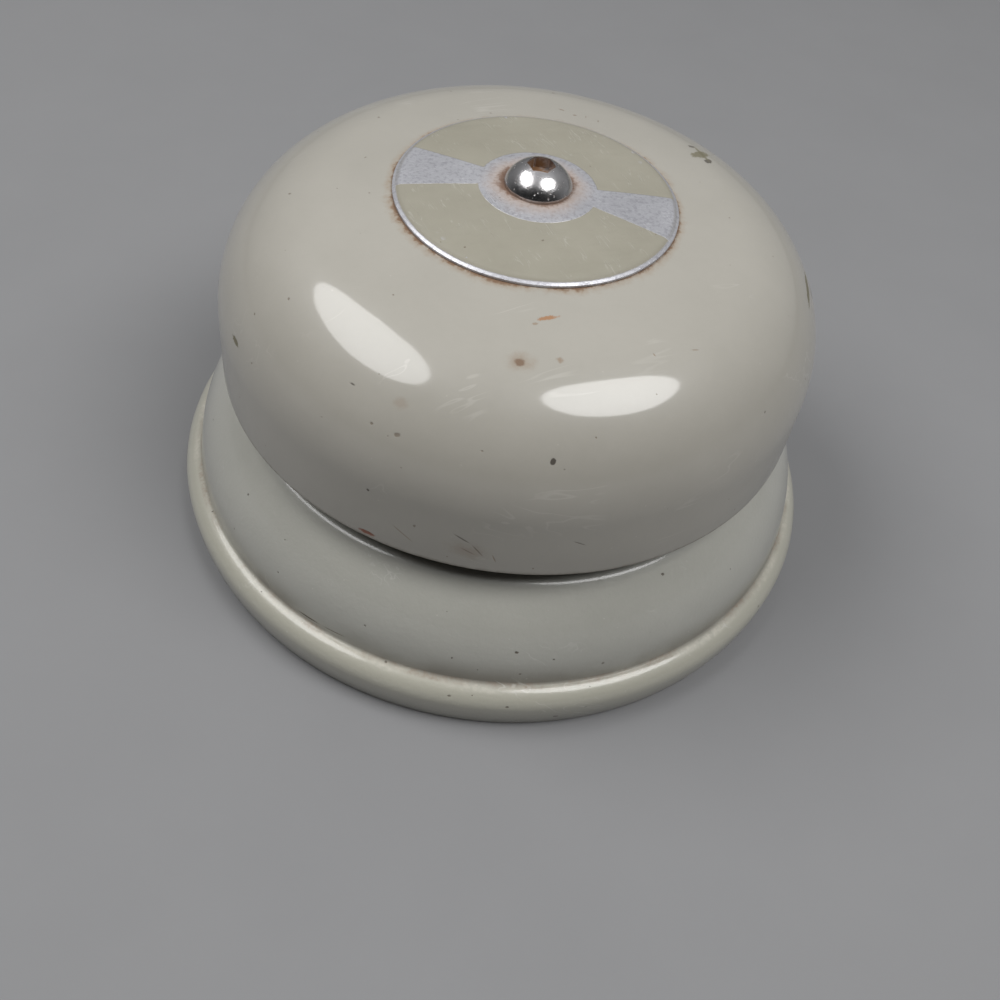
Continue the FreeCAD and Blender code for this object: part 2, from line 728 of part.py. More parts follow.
# Two coils: a soft-iron core riveted in the yoke, a bobbin on it and its winding.
for side, name in zip(COIL_SIDES, ("left", "right")):
    where = (f"{side}coil_spacing / 2", POLE, AXIS_HEIGHT)
    core = keep(new_body(f"core_{name}"))
    revolve(core, [
        ("0", "0"),
        ("core_radius", "0"),
        ("core_radius", "bobbin_length + pole_reach"),
        ("core_tail", "bobbin_length + pole_reach"),
        ("core_tail", "bobbin_length + pole_reach + frame_gauge"),
        ("0", "bobbin_length + pole_reach + frame_gauge"),
    ])
    place(core, *where, axis=ALONG_X, turn="-90")
    bobbin = keep(new_body(f"bobbin_{name}"))
    inner = "(core_radius + seat_gap)"
    drum = f"({inner} + bobbin_wall)"
    revolve(bobbin, [
        (inner, "pole_reach"),
        ("flange_radius", "pole_reach"),
        ("flange_radius", "pole_reach + flange_gauge"),
        (drum, "pole_reach + flange_gauge"),
        (drum, "pole_reach + bobbin_length - flange_gauge"),
        ("flange_radius", "pole_reach + bobbin_length - flange_gauge"),
        ("flange_radius", "pole_reach + bobbin_length"),
        (inner, "pole_reach + bobbin_length"),
    ])
    place(bobbin, *where, axis=ALONG_X, turn="-90")
    winding = keep(new_body(f"winding_{name}"))
    pad(winding, "XY_Plane", "pole_reach + flange_gauge", "bobbin_length - 2 * flange_gauge",
        circles=[("0", "0", "winding_radius"), ("0", "0", f"{drum} + seat_gap")])
    place(winding, *where, axis=ALONG_X, turn="-90")

# The pivot bracket: a channel riveted to the frame whose two ears hold the pin.
BRACKET_LEFT = f"({PIVOT_X} - bracket_width / 2)"
EAR_FRONT = f"({ARMATURE_Y} + bracket_reach)"
bracket = keep(new_body("pivot_bracket"))
BRACKET_OUTER = f"({BRACKET_WALL} - bracket_gauge)"
pad(bracket, "YZ_Plane", BRACKET_LEFT, "bracket_width", outlines=[[
    (BRACKET_OUTER, FRAME_TOP),
    (EAR_FRONT, FRAME_TOP),
    (EAR_FRONT, EAR_LOW),
    (BRACKET_WALL, EAR_LOW),
    (BRACKET_WALL, EAR_HIGH),
    (EAR_FRONT, EAR_HIGH),
    (EAR_FRONT, f"{EAR_HIGH} + bracket_gauge"),
    (BRACKET_OUTER, f"{EAR_HIGH} + bracket_gauge"),
]])
LEAF_RIVET_X = f"({BRACKET_LEFT} + rivet_head + bush_border)"
cut(bracket, "XY_Plane", f"{EAR_HIGH} + bracket_gauge",
    circles=[(PIVOT_X, ARMATURE_Y, "pin_radius + press_gap")])
cut(bracket, "XY_Plane", EAR_LOW,
    circles=[(*spot, "rivet_radius + press_gap") for spot in BRACKET_RIVETS])
cut(bracket, "XZ_Plane", f"-{BRACKET_OUTER}", depth="bracket_gauge",
    circles=[(LEAF_RIVET_X, AXIS_HEIGHT, "rivet_radius + press_gap")])


def bracket_rivet(number):
    body = rivet(f"bracket_rivet_{number}", "bracket_gauge + frame_gauge")
    return place(body, *BRACKET_RIVETS[number], EAR_LOW)


group("bracket_rivets", [bracket_rivet(number) for number in range(2)])

pin = keep(new_body("pivot_pin"))
PIN_TOP = f"({EAR_HIGH} + bracket_gauge)"
revolve(pin, [
    ("0", FRAME_TOP),
    ("pin_radius", FRAME_TOP),
    ("pin_radius", PIN_TOP),
    ("pin_head_radius", PIN_TOP),
    ("pin_head_radius", f"{PIN_TOP} + pin_head_height"),
    ("0", f"{PIN_TOP} + pin_head_height"),
])
place(pin, PIVOT_X, ARMATURE_Y)

# The return leaf: riveted inside the bracket's wall, it leans on the armature's tail.
LEAF_LOW = f"({AXIS_HEIGHT} - return_width / 2)"
LEAF_START = f"({BRACKET_LEFT} + bush_border)"
LEAF_TIP = f"({ARMATURE_Y} - tail_half - seat_gap)"
leaf = keep(new_body("return_spring"))
pad(leaf, "XY_Plane", LEAF_LOW, "return_width", outlines=[[
    (LEAF_START, BRACKET_WALL),
    (f"{LEAF_START} + return_flat", BRACKET_WALL),
    (f"{PIVOT_X} + rod_place", f"{LEAF_TIP} - return_gauge"),
    (f"{PIVOT_X} + tail_length", f"{LEAF_TIP} - return_gauge"),
    (f"{PIVOT_X} + tail_length", LEAF_TIP),
    (f"{PIVOT_X} + rod_place", LEAF_TIP),
    (f"{LEAF_START} + return_flat", f"{BRACKET_WALL} + return_gauge"),
    (LEAF_START, f"{BRACKET_WALL} + return_gauge"),
]])
cut(leaf, "XZ_Plane", f"-{BRACKET_WALL}", depth="return_gauge",
    circles=[(LEAF_RIVET_X, AXIS_HEIGHT, "rivet_radius + press_gap")])


def rivet_across(name, x, z, face, grip, head_back=True):
    """A rivet along Y whose head stands on a face, towards -Y or towards +Y."""
    body = new_body(name)
    head = face if head_back else f"({face} + rivet_height)"
    shank = f"({face} + {grip})" if head_back else face
    pad(body, "XZ_Plane", f"-({head})", "rivet_height", circles=[(x, z, "rivet_head")])
    pad(body, "XZ_Plane", f"-({shank})", grip, circles=[(x, z, "rivet_radius")])
    return body


keep(rivet_across("return_rivet", LEAF_RIVET_X, AXIS_HEIGHT, f"({BRACKET_WALL} + return_gauge)",
                  "(return_gauge + bracket_gauge)", head_back=False))


# The moving pieces are drawn about the pivot with the armature pulled in, and
# their Placement turns them out by the angle at which they rest.
def on_armature(piece):
    return place(piece, PIVOT_X, ARMATURE_Y, AXIS_HEIGHT, turn="rest_angle")


ARMATURE_RIVETS = [
    ("-(contact_start + rivet_head + bush_border)", "0"),
    ("-(contact_start + contact_flat - rivet_head - bush_border)", "0"),
]
KNUCKLE_HALF = f"({EAR_HALF} - ear_clearance)"
armature = keep(new_body("armature"))
pad(armature, "XY_Plane", "-armature_width / 2", "armature_width", outlines=[
    rectangle(f"-({PIVOT_X} + coil_spacing / 2 + armature_end)", "-armature_gauge / 2",
              "0", "armature_gauge / 2"),
])
pad(armature, "XY_Plane", f"-{KNUCKLE_HALF}", f"2 * {KNUCKLE_HALF}",
    circles=[("0", "0", "pin_radius + knuckle_wall")])
pad(armature, "XY_Plane", "-tail_width / 2", "tail_width",
    outlines=[rectangle("0", "-tail_half", "tail_length", "tail_half")])
cut(armature, "XY_Plane", KNUCKLE_HALF, circles=[("0", "0", "pin_radius + thread_gap")])
cut(armature, "XZ_Plane", "tail_half", depth="2 * tail_half",
    circles=[("rod_place", "0", "rod_radius + press_gap")])
cut(armature, "XZ_Plane", "armature_gauge / 2", depth="armature_gauge",
    circles=[(*spot, "rivet_radius + press_gap") for spot in ARMATURE_RIVETS])
on_armature(armature)

contact_spring = keep(new_body("contact_spring"))
SPRING_BACK = "(armature_gauge / 2 + contact_gauge)"
JOGGLE = "(contact_start + contact_flat + contact_joggle)"
SPRING_END = "(contact_reach + contact_width / 2)"
pad(contact_spring, "XY_Plane", "-contact_width / 2", "contact_width", outlines=[[
    ("-contact_start", "-armature_gauge / 2"),
    ("-(contact_start + contact_flat)", "-armature_gauge / 2"),
    (f"-{JOGGLE}", "-(armature_gauge / 2 + contact_offset)"),
    (f"-{SPRING_END}", "-(armature_gauge / 2 + contact_offset)"),
    (f"-{SPRING_END}", f"-({SPRING_BACK} + contact_offset)"),
    (f"-{JOGGLE}", f"-({SPRING_BACK} + contact_offset)"),
    ("-(contact_start + contact_flat)", f"-{SPRING_BACK}"),
    ("-contact_start", f"-{SPRING_BACK}"),
]])
cut(contact_spring, "XZ_Plane", SPRING_BACK, depth="contact_gauge",
    circles=[(*spot, "rivet_radius + press_gap") for spot in ARMATURE_RIVETS])
on_armature(contact_spring)

moving_contact = keep(new_body("moving_contact"))
pad(moving_contact, "XZ_Plane", f"{CONTACT_FACE} - contact_height", "contact_height",
    circles=[("-contact_reach", "0", "contact_radius")])
on_armature(moving_contact)

group("armature_rivets", [
    on_armature(rivet_across(f"armature_rivet_{number}", *spot, f"-{SPRING_BACK}",
                             "(contact_gauge + armature_gauge)"))
    for number, spot in enumerate(ARMATURE_RIVETS)
])

# The striker: a bent wire in the armature's tail with a ball on its end.
BALL_REACH = "(gong_radius - gong_gauge - ball_radius - strike_gap)"
BALL_X = f"({BALL_REACH} * cos(ball_bearing) - {PIVOT_X})"
BALL_Y = f"({BALL_REACH} * sin(ball_bearing) - {ARMATURE_Y})"
rod = keep(rod_along("striker_rod", [
    ("rod_place", "-tail_half", "0"),
    ("rod_place", "rod_run", "0"),
    (BALL_X, BALL_Y, "0"),
], "rod_radius", "rod_bend"))
on_armature(rod)

BALL_HOLE = "(rod_radius + press_gap)"
ball = keep(new_body("striker_ball"))
revolve(ball, [
    (f"-sqrt(ball_radius^2 - {BALL_HOLE}^2)", BALL_HOLE, "right", "ball_radius"),
    ("0", "ball_radius", "right", "ball_radius"),
    ("ball_radius", "0"),
    ("0", "0"),
    ("0", BALL_HOLE),
], axis="H_Axis")
place(ball,
      f"{PIVOT_X} + {BALL_X} * cos(rest_angle) - {BALL_Y} * sin(rest_angle)",
      f"{ARMATURE_Y} + {BALL_X} * sin(rest_angle) + {BALL_Y} * cos(rest_angle)",
      AXIS_HEIGHT,
      turn=f"atan2({BALL_Y} - rod_run; {BALL_X} - rod_place) + rest_angle * 1deg")

# The fixed contact: a screw in a brass pillar that stands on an insulating plate.
BUSH_BORE = "(small_screw_radius + seat_gap)"
BUSH_OUTER = f"({BUSH_BORE} + bush_wall)"
insulator = keep(new_body("pillar_insulator"))
pad(insulator, "XY_Plane", FRAME_TOP, "insulator_gauge",
    outlines=[rectangle(f"{CONTACT_X} - foot_width / 2 - insulator_border",
                        f"{PILLAR_MIDDLE} - pillar_depth / 2 - insulator_border",
                        f"{CONTACT_X} + foot_width / 2 + insulator_border",
                        f"{PILLAR_MIDDLE} + pillar_depth / 2 + insulator_border")],
    circles=[(*spot, "small_screw_radius + press_gap") for spot in FOOT_SCREWS])

pillar = keep(new_body("contact_pillar"))
FOOT_TOP = f"({FOOT_HEIGHT} + foot_gauge)"
PILLAR_TOP = f"({AXIS_HEIGHT} + pillar_top)"
pad(pillar, "XZ_Plane", f"-{PILLAR_FRONT}", "pillar_depth",
    outlines=[[
        (f"{CONTACT_X} - foot_width / 2", FOOT_HEIGHT),
        (f"{CONTACT_X} + foot_width / 2", FOOT_HEIGHT),
        (f"{CONTACT_X} + foot_width / 2", FOOT_TOP),
        (f"{CONTACT_X} + pillar_width / 2", FOOT_TOP),
        (f"{CONTACT_X} + pillar_width / 2", PILLAR_TOP),
        (f"{CONTACT_X} - pillar_width / 2", PILLAR_TOP),
        (f"{CONTACT_X} - pillar_width / 2", FOOT_TOP),
        (f"{CONTACT_X} - foot_width / 2", FOOT_TOP),
    ]],
    circles=[(CONTACT_X, AXIS_HEIGHT, "adjuster_radius + thread_gap")])
cut(pillar, "XY_Plane", FOOT_TOP,
    circles=[(*spot, f"{BUSH_OUTER} + press_gap") for spot in FOOT_SCREWS])


def pillar_bush(number):
    body = new_body(f"pillar_bush_{number}")
    revolve(body, [
        (BUSH_BORE, "0"),
        (BUSH_OUTER, "0"),
        (BUSH_OUTER, "foot_gauge"),
        ("small_head_radius + bush_border", "foot_gauge"),
        ("small_head_radius + bush_border", "foot_gauge + bush_lip"),
        (BUSH_BORE, "foot_gauge + bush_lip"),
    ])
    return place(body, *FOOT_SCREWS[number], FOOT_HEIGHT)


def pillar_screw(number):
    through = "bush_lip + foot_gauge + insulator_gauge + frame_gauge + small_screw_grip"
    body = slotted_screw(f"pillar_screw_{number}", "small_screw_radius", through,
                         "small_head_radius", "small_head_height")
    return place(body, *FOOT_SCREWS[number], f"{FOOT_TOP} + bush_lip")


group("pillar_bushes", [pillar_bush(number) for number in range(2)])
group("pillar_screws", [pillar_screw(number) for number in range(2)])

contact_screw = keep(new_body("contact_screw"))
ADJUSTER_TOP = "(adjuster_length + adjuster_head_height)"
revolve(contact_screw, [
    ("0", "tip_height"),
    ("adjuster_radius", "tip_height"),
    ("adjuster_radius", "adjuster_length"),
    ("adjuster_head_radius", "adjuster_length"),
    ("adjuster_head_radius", ADJUSTER_TOP),
    ("0", ADJUSTER_TOP),
])
cut(contact_screw, "XY_Plane", ADJUSTER_TOP, depth="slot_depth",
    outlines=[rectangle("-adjuster_head_radius", "-slot_width / 2",
                        "adjuster_head_radius", "slot_width / 2")])
place(contact_screw, CONTACT_X, CONTACT_Y, AXIS_HEIGHT, axis=ALONG_X, turn="90")

contact_tip = keep(new_body("contact_tip"))
pad(contact_tip, "XY_Plane", "0", "tip_height", circles=[("0", "0", "tip_radius")])
place(contact_tip, CONTACT_X, CONTACT_Y, AXIS_HEIGHT, axis=ALONG_X, turn="90")

contact_nut = keep(hex_nut("contact_nut", "contact_nut_flats", "contact_nut_height",
                           "adjuster_radius + thread_gap"))
place(contact_nut, CONTACT_X, f"{PILLAR_FRONT} - pillar_depth", AXIS_HEIGHT, axis=ALONG_X, turn="90")

# The terminal block: a moulding with three ribs, screwed up through the pan.
block = keep(new_body("terminal_block"))
RIB_TOP = f"({BLOCK_FLOOR} + block_wall)"
pad(block, "XZ_Plane", "-(block_y + block_depth)", "block_depth", outlines=[[
    ("-block_half", "pan_height"),
    ("block_half", "pan_height"),
    ("block_half", RIB_TOP),
    ("block_half - block_rib", RIB_TOP),
    ("block_half - block_rib", BLOCK_FLOOR),
    ("block_rib / 2", BLOCK_FLOOR),
    ("block_rib / 2", RIB_TOP),
    ("-block_rib / 2", RIB_TOP),
    ("-block_rib / 2", BLOCK_FLOOR),
    ("-(block_half - block_rib)", BLOCK_FLOOR),
    ("-(block_half - block_rib)", RIB_TOP),
    ("-block_half", RIB_TOP),
]])
cut(block, "XY_Plane", BLOCK_FLOOR, depth="terminal_screw_grip",
    circles=[(f"{side}{TERMINAL_X}", TERMINAL_Y, "terminal_screw_radius + thread_gap")
             for side in COIL_SIDES])
cut(block, "XY_Plane", "pan_height", depth="terminal_screw_grip", upward=True,
    circles=[(*spot, "small_screw_radius + thread_gap") for spot in BLOCK_SCREWS])


def terminal_plate(side):
    body = new_body("terminal_plate")
    middle = f"{side}{TERMINAL_X}"
    pad(body, "XY_Plane", BLOCK_FLOOR, "terminal_gauge",
        outlines=[rectangle(f"{middle} - terminal_width / 2", f"{TERMINAL_Y} - terminal_depth / 2",
                            f"{middle} + terminal_width / 2", f"{TERMINAL_Y} + terminal_depth / 2")],
        circles=[(middle, TERMINAL_Y, "terminal_screw_radius + seat_gap")])
    return body


def terminal_screw(side):
    body = slotted_screw("terminal_screw", "terminal_screw_radius",
                         "terminal_gauge + terminal_screw_grip - hole_gap",
                         "terminal_head_radius", "terminal_head_height")
    return place(body, f"{side}{TERMINAL_X}", TERMINAL_Y, f"{BLOCK_FLOOR} + terminal_gauge")


def block_screw(number):
    body = slotted_screw(f"block_screw_{number}", "small_screw_radius",
                         "pan_gauge + terminal_screw_grip - hole_gap",
                         "small_head_radius", "small_head_height")
    return place(body, *BLOCK_SCREWS[number], PAN_UNDER, axis=ALONG_X, turn="180")


group("terminal_plates", [terminal_plate(side) for side in COIL_SIDES])
group("terminal_screws", [terminal_screw(side) for side in COIL_SIDES])
group("block_screws", [block_screw(number) for number in range(2)])

# The leads: coil to coil, coil to terminal, coil to contact, frame to terminal.
WOUND_TOP = f"({AXIS_HEIGHT} + winding_radius + 2 * seat_gap)"
LEAD_HIGH = f"({AXIS_HEIGHT} + winding_radius + lead_lift)"
LEAD_BACK = "(block_y - lead_pitch)"
LEAD_LOW = f"({BLOCK_FLOOR} + lead_radius + seat_gap)"
LEAD_END = f"({TERMINAL_Y} - terminal_depth / 2 - 2 * seat_gap)"
LINK_Y = "(yoke_distance - lead_pitch)"
keep(rod_along("coil_link", [
    ("-coil_spacing / 2", LINK_Y, WOUND_TOP),
    ("-coil_spacing / 2", LINK_Y, LEAD_HIGH),
    ("coil_spacing / 2", LINK_Y, LEAD_HIGH),
    ("coil_spacing / 2", LINK_Y, WOUND_TOP),
], "lead_radius", "lead_bend"))
keep(rod_along("coil_lead", [
    ("-coil_spacing / 2", f"{LINK_Y} - lead_pitch", WOUND_TOP),
    ("-coil_spacing / 2", f"{LINK_Y} - lead_pitch", f"{LEAD_HIGH} + lead_pitch"),
    (f"-{TERMINAL_X}", LEAD_BACK, f"{LEAD_HIGH} + lead_pitch"),
    (f"-{TERMINAL_X}", LEAD_BACK, LEAD_LOW),
    (f"-{TERMINAL_X}", LEAD_END, LEAD_LOW),
], "lead_radius", "lead_bend"))
keep(rod_along("contact_lead", [
    ("coil_spacing / 2", f"{POLE} + 2 * lead_pitch", WOUND_TOP),
    ("coil_spacing / 2", f"{POLE} + 2 * lead_pitch", LEAD_HIGH),
    (CONTACT_X, PILLAR_MIDDLE, LEAD_HIGH),
    (CONTACT_X, PILLAR_MIDDLE, f"{PILLAR_TOP} + 2 * seat_gap"),
], "lead_radius", "lead_bend"))
keep(rod_along("frame_lead", [
    (TERMINAL_X, f"{BACK} + 2 * seat_gap", AXIS_HEIGHT),
    (TERMINAL_X, LEAD_BACK, AXIS_HEIGHT),
    (TERMINAL_X, LEAD_BACK, LEAD_LOW),
    (TERMINAL_X, LEAD_END, LEAD_LOW),
], "lead_radius", "lead_bend"))

# Everything has to have been made before anything is written.
doc.recompute()
for item in doc.Objects:
    if {"Invalid", "Error"} & set(item.State):
        raise RuntimeError(f"{item.Label}: {item.State}")
for node in NODES:
    if node.Shape.isNull() or not node.Shape.isValid():
        raise RuntimeError(f"{node.Label}: its shape isn't valid")
os.makedirs("parts", exist_ok=True)
for node in NODES:
    node.Shape.exportStep(os.path.join("parts", node.Label + ".step"))
print(f"{len(NODES)} sub-parts written")
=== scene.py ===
# A wall bell with its works under the gong, put together as the real one is:
# plate, pan, post, coils, armature, contact and terminals, then the gong with
# its disc and its screw. Shapes are written in millimetres and made in metres,
# and the sizes of patterns are in metres.

import math

import bmesh
import bpy
from mathutils import Matrix, Vector


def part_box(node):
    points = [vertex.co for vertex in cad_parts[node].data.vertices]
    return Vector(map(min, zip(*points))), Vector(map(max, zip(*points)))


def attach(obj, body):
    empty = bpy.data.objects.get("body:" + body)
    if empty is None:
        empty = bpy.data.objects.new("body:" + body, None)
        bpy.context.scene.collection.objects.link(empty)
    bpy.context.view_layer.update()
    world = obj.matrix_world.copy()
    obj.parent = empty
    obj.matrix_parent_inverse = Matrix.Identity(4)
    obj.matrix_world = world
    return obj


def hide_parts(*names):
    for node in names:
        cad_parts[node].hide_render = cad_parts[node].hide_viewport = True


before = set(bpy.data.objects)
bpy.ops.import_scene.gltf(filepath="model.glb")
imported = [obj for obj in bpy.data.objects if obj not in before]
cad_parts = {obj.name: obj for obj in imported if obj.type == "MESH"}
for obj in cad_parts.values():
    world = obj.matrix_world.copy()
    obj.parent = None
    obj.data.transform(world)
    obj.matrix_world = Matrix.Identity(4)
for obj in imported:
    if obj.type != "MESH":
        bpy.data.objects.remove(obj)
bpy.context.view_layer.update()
MM = 0.001


# The wall plate is a stamped disc of zinc-plated steel with two turned pillars
# riveted into it. It screws to the wall box, and everything else hangs on it.
# Years in the wall have dulled the plating to grey with a white bloom.
def put(tree, kind, feeds=(), **choices):
    """Adds a node, sets its choices, and feeds its sockets from values or other sockets."""
    node = tree.nodes.new(kind)
    for name, choice in choices.items():
        setattr(node, name, choice)
    for name, feed in dict(feeds).items():
        if isinstance(feed, bpy.types.NodeSocket):
            tree.links.new(feed, node.inputs[name])
        else:
            node.inputs[name].default_value = feed
    return node


def reckon(tree, operation, first, second=0.0, third=0.0, held=False):
    """One step of arithmetic on masks."""
    feeds = {0: first, 1: second, 2: third}
    return put(tree, "ShaderNodeMath", feeds, operation=operation, use_clamp=held).outputs[0]


def times(tree, first, *others):
    """The product of masks and numbers."""
    for other in others:
        first = reckon(tree, "MULTIPLY", first, other)
    return first


def most(tree, first, *others):
    """The highest of several masks."""
    for other in others:
        first = reckon(tree, "MAXIMUM", first, other)
    return first


def less(tree, first, second):
    """The first less the second."""
    return reckon(tree, "SUBTRACT", first, second)


def sway(tree, level, tone, span):
    """A level that wanders to either side by up to half the span, as a tone does."""
    return reckon(tree, "MULTIPLY_ADD", less(tree, tone, 0.5), span, level)


def vector(tree, operation, first, second=(0.0, 0.0, 0.0)):
    """One step of arithmetic on vectors. It gives a number where it measures one."""
    feeds = {0: first, "Scale" if operation == "SCALE" else 1: second}
    measure = operation in ("DOT_PRODUCT", "LENGTH", "DISTANCE")
    node = put(tree, "ShaderNodeVectorMath", feeds, operation=operation)
    return node.outputs["Value" if measure else "Vector"]


def noise(tree, spot, scale, **feeds):
    """Soft noise about 0.5, with this many of its features to the metre."""
    return put(tree, "ShaderNodeTexNoise", {"Vector": spot, "Scale": scale, **feeds}).outputs[0]


def between(tree, share, low, high):
    """A number part of the way from low to high."""
    return put(tree, "ShaderNodeMix", {0: share, 2: low, 3: high}, data_type="FLOAT").outputs[0]


def tint(tree, share, under, over):
    """One colour laid over another where the share says so."""
    under, over = (shade + (1,) if isinstance(shade, tuple) else shade for shade in (under, over))
    return put(tree, "ShaderNodeMix", {0: share, 6: under, 7: over}, data_type="RGBA").outputs[2]


def wash(tree, colour, mask, strength, shade):
    """A shade laid over a colour where the mask is, at this strength."""
    return tint(tree, times(tree, mask, strength), colour, shade)


def ramp(tree, level, low, high):
    """0 below low and 1 above high, or the other way round."""
    feeds = {"Value": level, "From Min": low, "From Max": high}
    return put(tree, "ShaderNodeMapRange", feeds, interpolation_type="SMOOTHSTEP", clamp=True).outputs[0]


def new_group(name, kind, inputs, **outputs):
    """An empty node group with named sockets, and its two end nodes. An input's kind
    follows from its usual value, or stands in its place."""
    tree = bpy.data.node_groups.new(name, kind)
    kinds = {float: "Float", int: "Int", tuple: "Vector"}
    for label, usual in inputs.items():
        sort = usual if isinstance(usual, str) else kinds[type(usual)]
        socket = tree.interface.new_socket(label, in_out="INPUT", socket_type="NodeSocket" + sort)
        if sort != usual:
            socket.default_value = usual
    for label, sort in outputs.items():
        tree.interface.new_socket(label, in_out="OUTPUT", socket_type="NodeSocket" + sort)
    return tree, put(tree, "NodeGroupInput").outputs, put(tree, "NodeGroupOutput").inputs


def spot_on(tree):
    """Where a point of the surface is, in metres in the row frame."""
    return put(tree, "ShaderNodeTexCoord").outputs["Object"]


def cloudiness():
    """Soft clouds of tone with finer ones in them; Size is that of the large ones."""
    sizes = {"Size": 0.01, "Detail": 4.0, "Contrast": 1.0}
    tree, given, gives = new_group("Cloudy Tone", "ShaderNodeTree", sizes, Tone="Float")
    scale = reckon(tree, "DIVIDE", 1.0, given["Size"])
    clouds = noise(tree, spot_on(tree), scale, Detail=given["Detail"], Roughness=0.6)
    tone = reckon(tree, "MULTIPLY_ADD", less(tree, clouds, 0.5), given["Contrast"], 0.5, held=True)
    tree.links.new(tone, gives["Tone"])
    return tree


def scratching():
    """Fine lines, longest along one way, in patches. Turn is in radians."""
    sizes = {"Size": 0.004, "Stretch": 12.0, "Amount": 0.3, "Turn": (0.0, 0.0, 0.0)}
    tree, given, gives = new_group("Fine Scratches", "ShaderNodeTree", sizes, Mask="Float")
    spot = spot_on(tree)
    turned = put(tree, "ShaderNodeVectorRotate", {"Vector": spot, "Rotation": given["Turn"]},
                 rotation_type="EULER_XYZ").outputs[0]
    along = reckon(tree, "DIVIDE", 1.0, given["Stretch"])
    squeeze = put(tree, "ShaderNodeCombineXYZ", {0: 1.0, 1: along, 2: 1.0}).outputs[0]
    drawn = vector(tree, "MULTIPLY", turned, squeeze)
    scale = reckon(tree, "DIVIDE", 1.0, given["Size"])
    waves = noise(tree, drawn, scale, Detail=3.0, Roughness=0.75, Distortion=0.3)
    line = ramp(tree, reckon(tree, "ABSOLUTE", less(tree, waves, 0.5)), 0.012, 0.002)
    patch = noise(tree, spot, times(tree, scale, 0.6), Detail=2.0)
    limit = less(tree, 0.8, times(tree, given["Amount"], 0.5))
    kept = ramp(tree, less(tree, patch, limit), 0.0, 0.1)
    tree.links.new(times(tree, line, kept), gives["Mask"])
    return tree


def speckling():
    """Separate specks of about one size; Share is how many of the places have one."""
    sizes = {"Size": 0.002, "Share": 0.3, "Width": 0.3}
    tree, given, gives = new_group("Specks", "ShaderNodeTree", sizes, Mask="Float")
    scale = reckon(tree, "DIVIDE", 1.0, given["Size"])
    spot = spot_on(tree)
    ragged = noise(tree, spot, times(tree, scale, 4.0), Detail=1.0)
    cells = put(tree, "ShaderNodeTexVoronoi", {"Vector": spot, "Scale": scale, "Randomness": 1.0})
    chance = put(tree, "ShaderNodeSeparateColor", {0: cells.outputs["Color"]}).outputs
    reach = times(tree, given["Width"], reckon(tree, "MULTIPLY_ADD", chance[1], 0.8, 0.2))
    distance = sway(tree, cells.outputs["Distance"], ragged, 0.25)
    speck = ramp(tree, distance, reach, times(tree, reach, 0.55))
    here = reckon(tree, "LESS_THAN", chance[0], given["Share"])
    tree.links.new(times(tree, speck, here), gives["Mask"])
    return tree


def edge_rubbing():
    """Where handling has rubbed an outer edge; Width is how far it reaches in."""
    sizes = {"Width": 0.0004, "Patches": 0.004}
    tree, given, gives = new_group("Rubbed Edge", "ShaderNodeTree", sizes, Mask="Float")
    rounded = put(tree, "ShaderNodeBevel", {"Radius": given["Width"]}, samples=4).outputs[0]
    true = put(tree, "ShaderNodeNewGeometry").outputs["Normal"]
    edge = ramp(tree, vector(tree, "DOT_PRODUCT", rounded, true), 0.97, 0.80)
    patch = noise(tree, spot_on(tree), reckon(tree, "DIVIDE", 1.0, given["Patches"]), Detail=3.0)
    tree.links.new(times(tree, edge, ramp(tree, patch, 0.35, 0.6)), gives["Mask"])
    return tree


cloudy = cloudiness()
scratched = scratching()
specked = speckling()
rubbed = edge_rubbing()


def lay(tree, effect, **feeds):
    """Places a shader group in a material with its own values and gives its one output."""
    return put(tree, "ShaderNodeGroup", feeds, node_tree=effect).outputs[0]


def new_finish(name):
    """An empty material and its tree."""
    finish = bpy.data.materials.new(name)
    finish.use_nodes = True
    finish.node_tree.nodes.clear()
    return finish, finish.node_tree


def coat(finish, colour, roughness, height=None, depth=0.0, **feeds):
    """Gives a material its surface. The height map raises or sinks it by at most the
    depth in metres."""
    tree = finish.node_tree
    feeds = {name.replace("_", " "): feed for name, feed in feeds.items()}
    if height is not None:
        bump = put(tree, "ShaderNodeBump", {"Height": height, "Strength": 1.0, "Distance": depth})
        feeds["Normal"] = bump.outputs[0]
    feeds.update({"Base Color": colour, "Roughness": roughness})
    surface = put(tree, "ShaderNodeBsdfPrincipled", feeds)
    out = put(tree, "ShaderNodeOutputMaterial", {"Surface": surface.outputs[0]})
    out.is_active_output = True
    return finish


def metal_finish(name, clean, dull, tarnish, rough, smooth, cloud, scratch):
    """Bare or plated metal: clouded by age, finely scratched, brighter on its rubbed edges."""
    finish, tree = new_finish(name)
    tone = lay(tree, cloudy, Size=cloud, Detail=6.0, Contrast=1.9)
    lines = lay(tree, scratched, Size=0.0016, Stretch=14.0, Amount=scratch, Turn=(0.4, 0.9, 0.5))
    edges = lay(tree, rubbed, Width=0.00035, Patches=0.005)
    stain = lay(tree, specked, Size=0.0022, Share=0.35, Width=0.42)
    grain = lay(tree, cloudy, Size=0.0004, Detail=3.0, Contrast=1.0)
    colour = wash(tree, tint(tree, tone, dull, clean), stain, 0.55, tarnish)
    bright = most(tree, times(tree, lines, 0.5), edges)
    colour = wash(tree, colour, bright, 0.6, tuple(min(1, part * 1.25) for part in clean))
    wear = most(tree, bright, times(tree, stain, -0.5))
    shine = reckon(tree, "MULTIPLY_ADD", wear, 0.35, tone, held=True)
    height = less(tree, times(tree, grain, 0.4), lines)
    return coat(finish, colour, between(tree, shine, rough, smooth), height, 0.00002,
                Metallic=ramp(tree, stain, 1.6, 0.2))


def dress(finish, *nodes):
    """Gives CAD nodes their finish."""
    for name in nodes:
        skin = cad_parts[name].data.materials
        skin.clear()
        skin.append(finish)


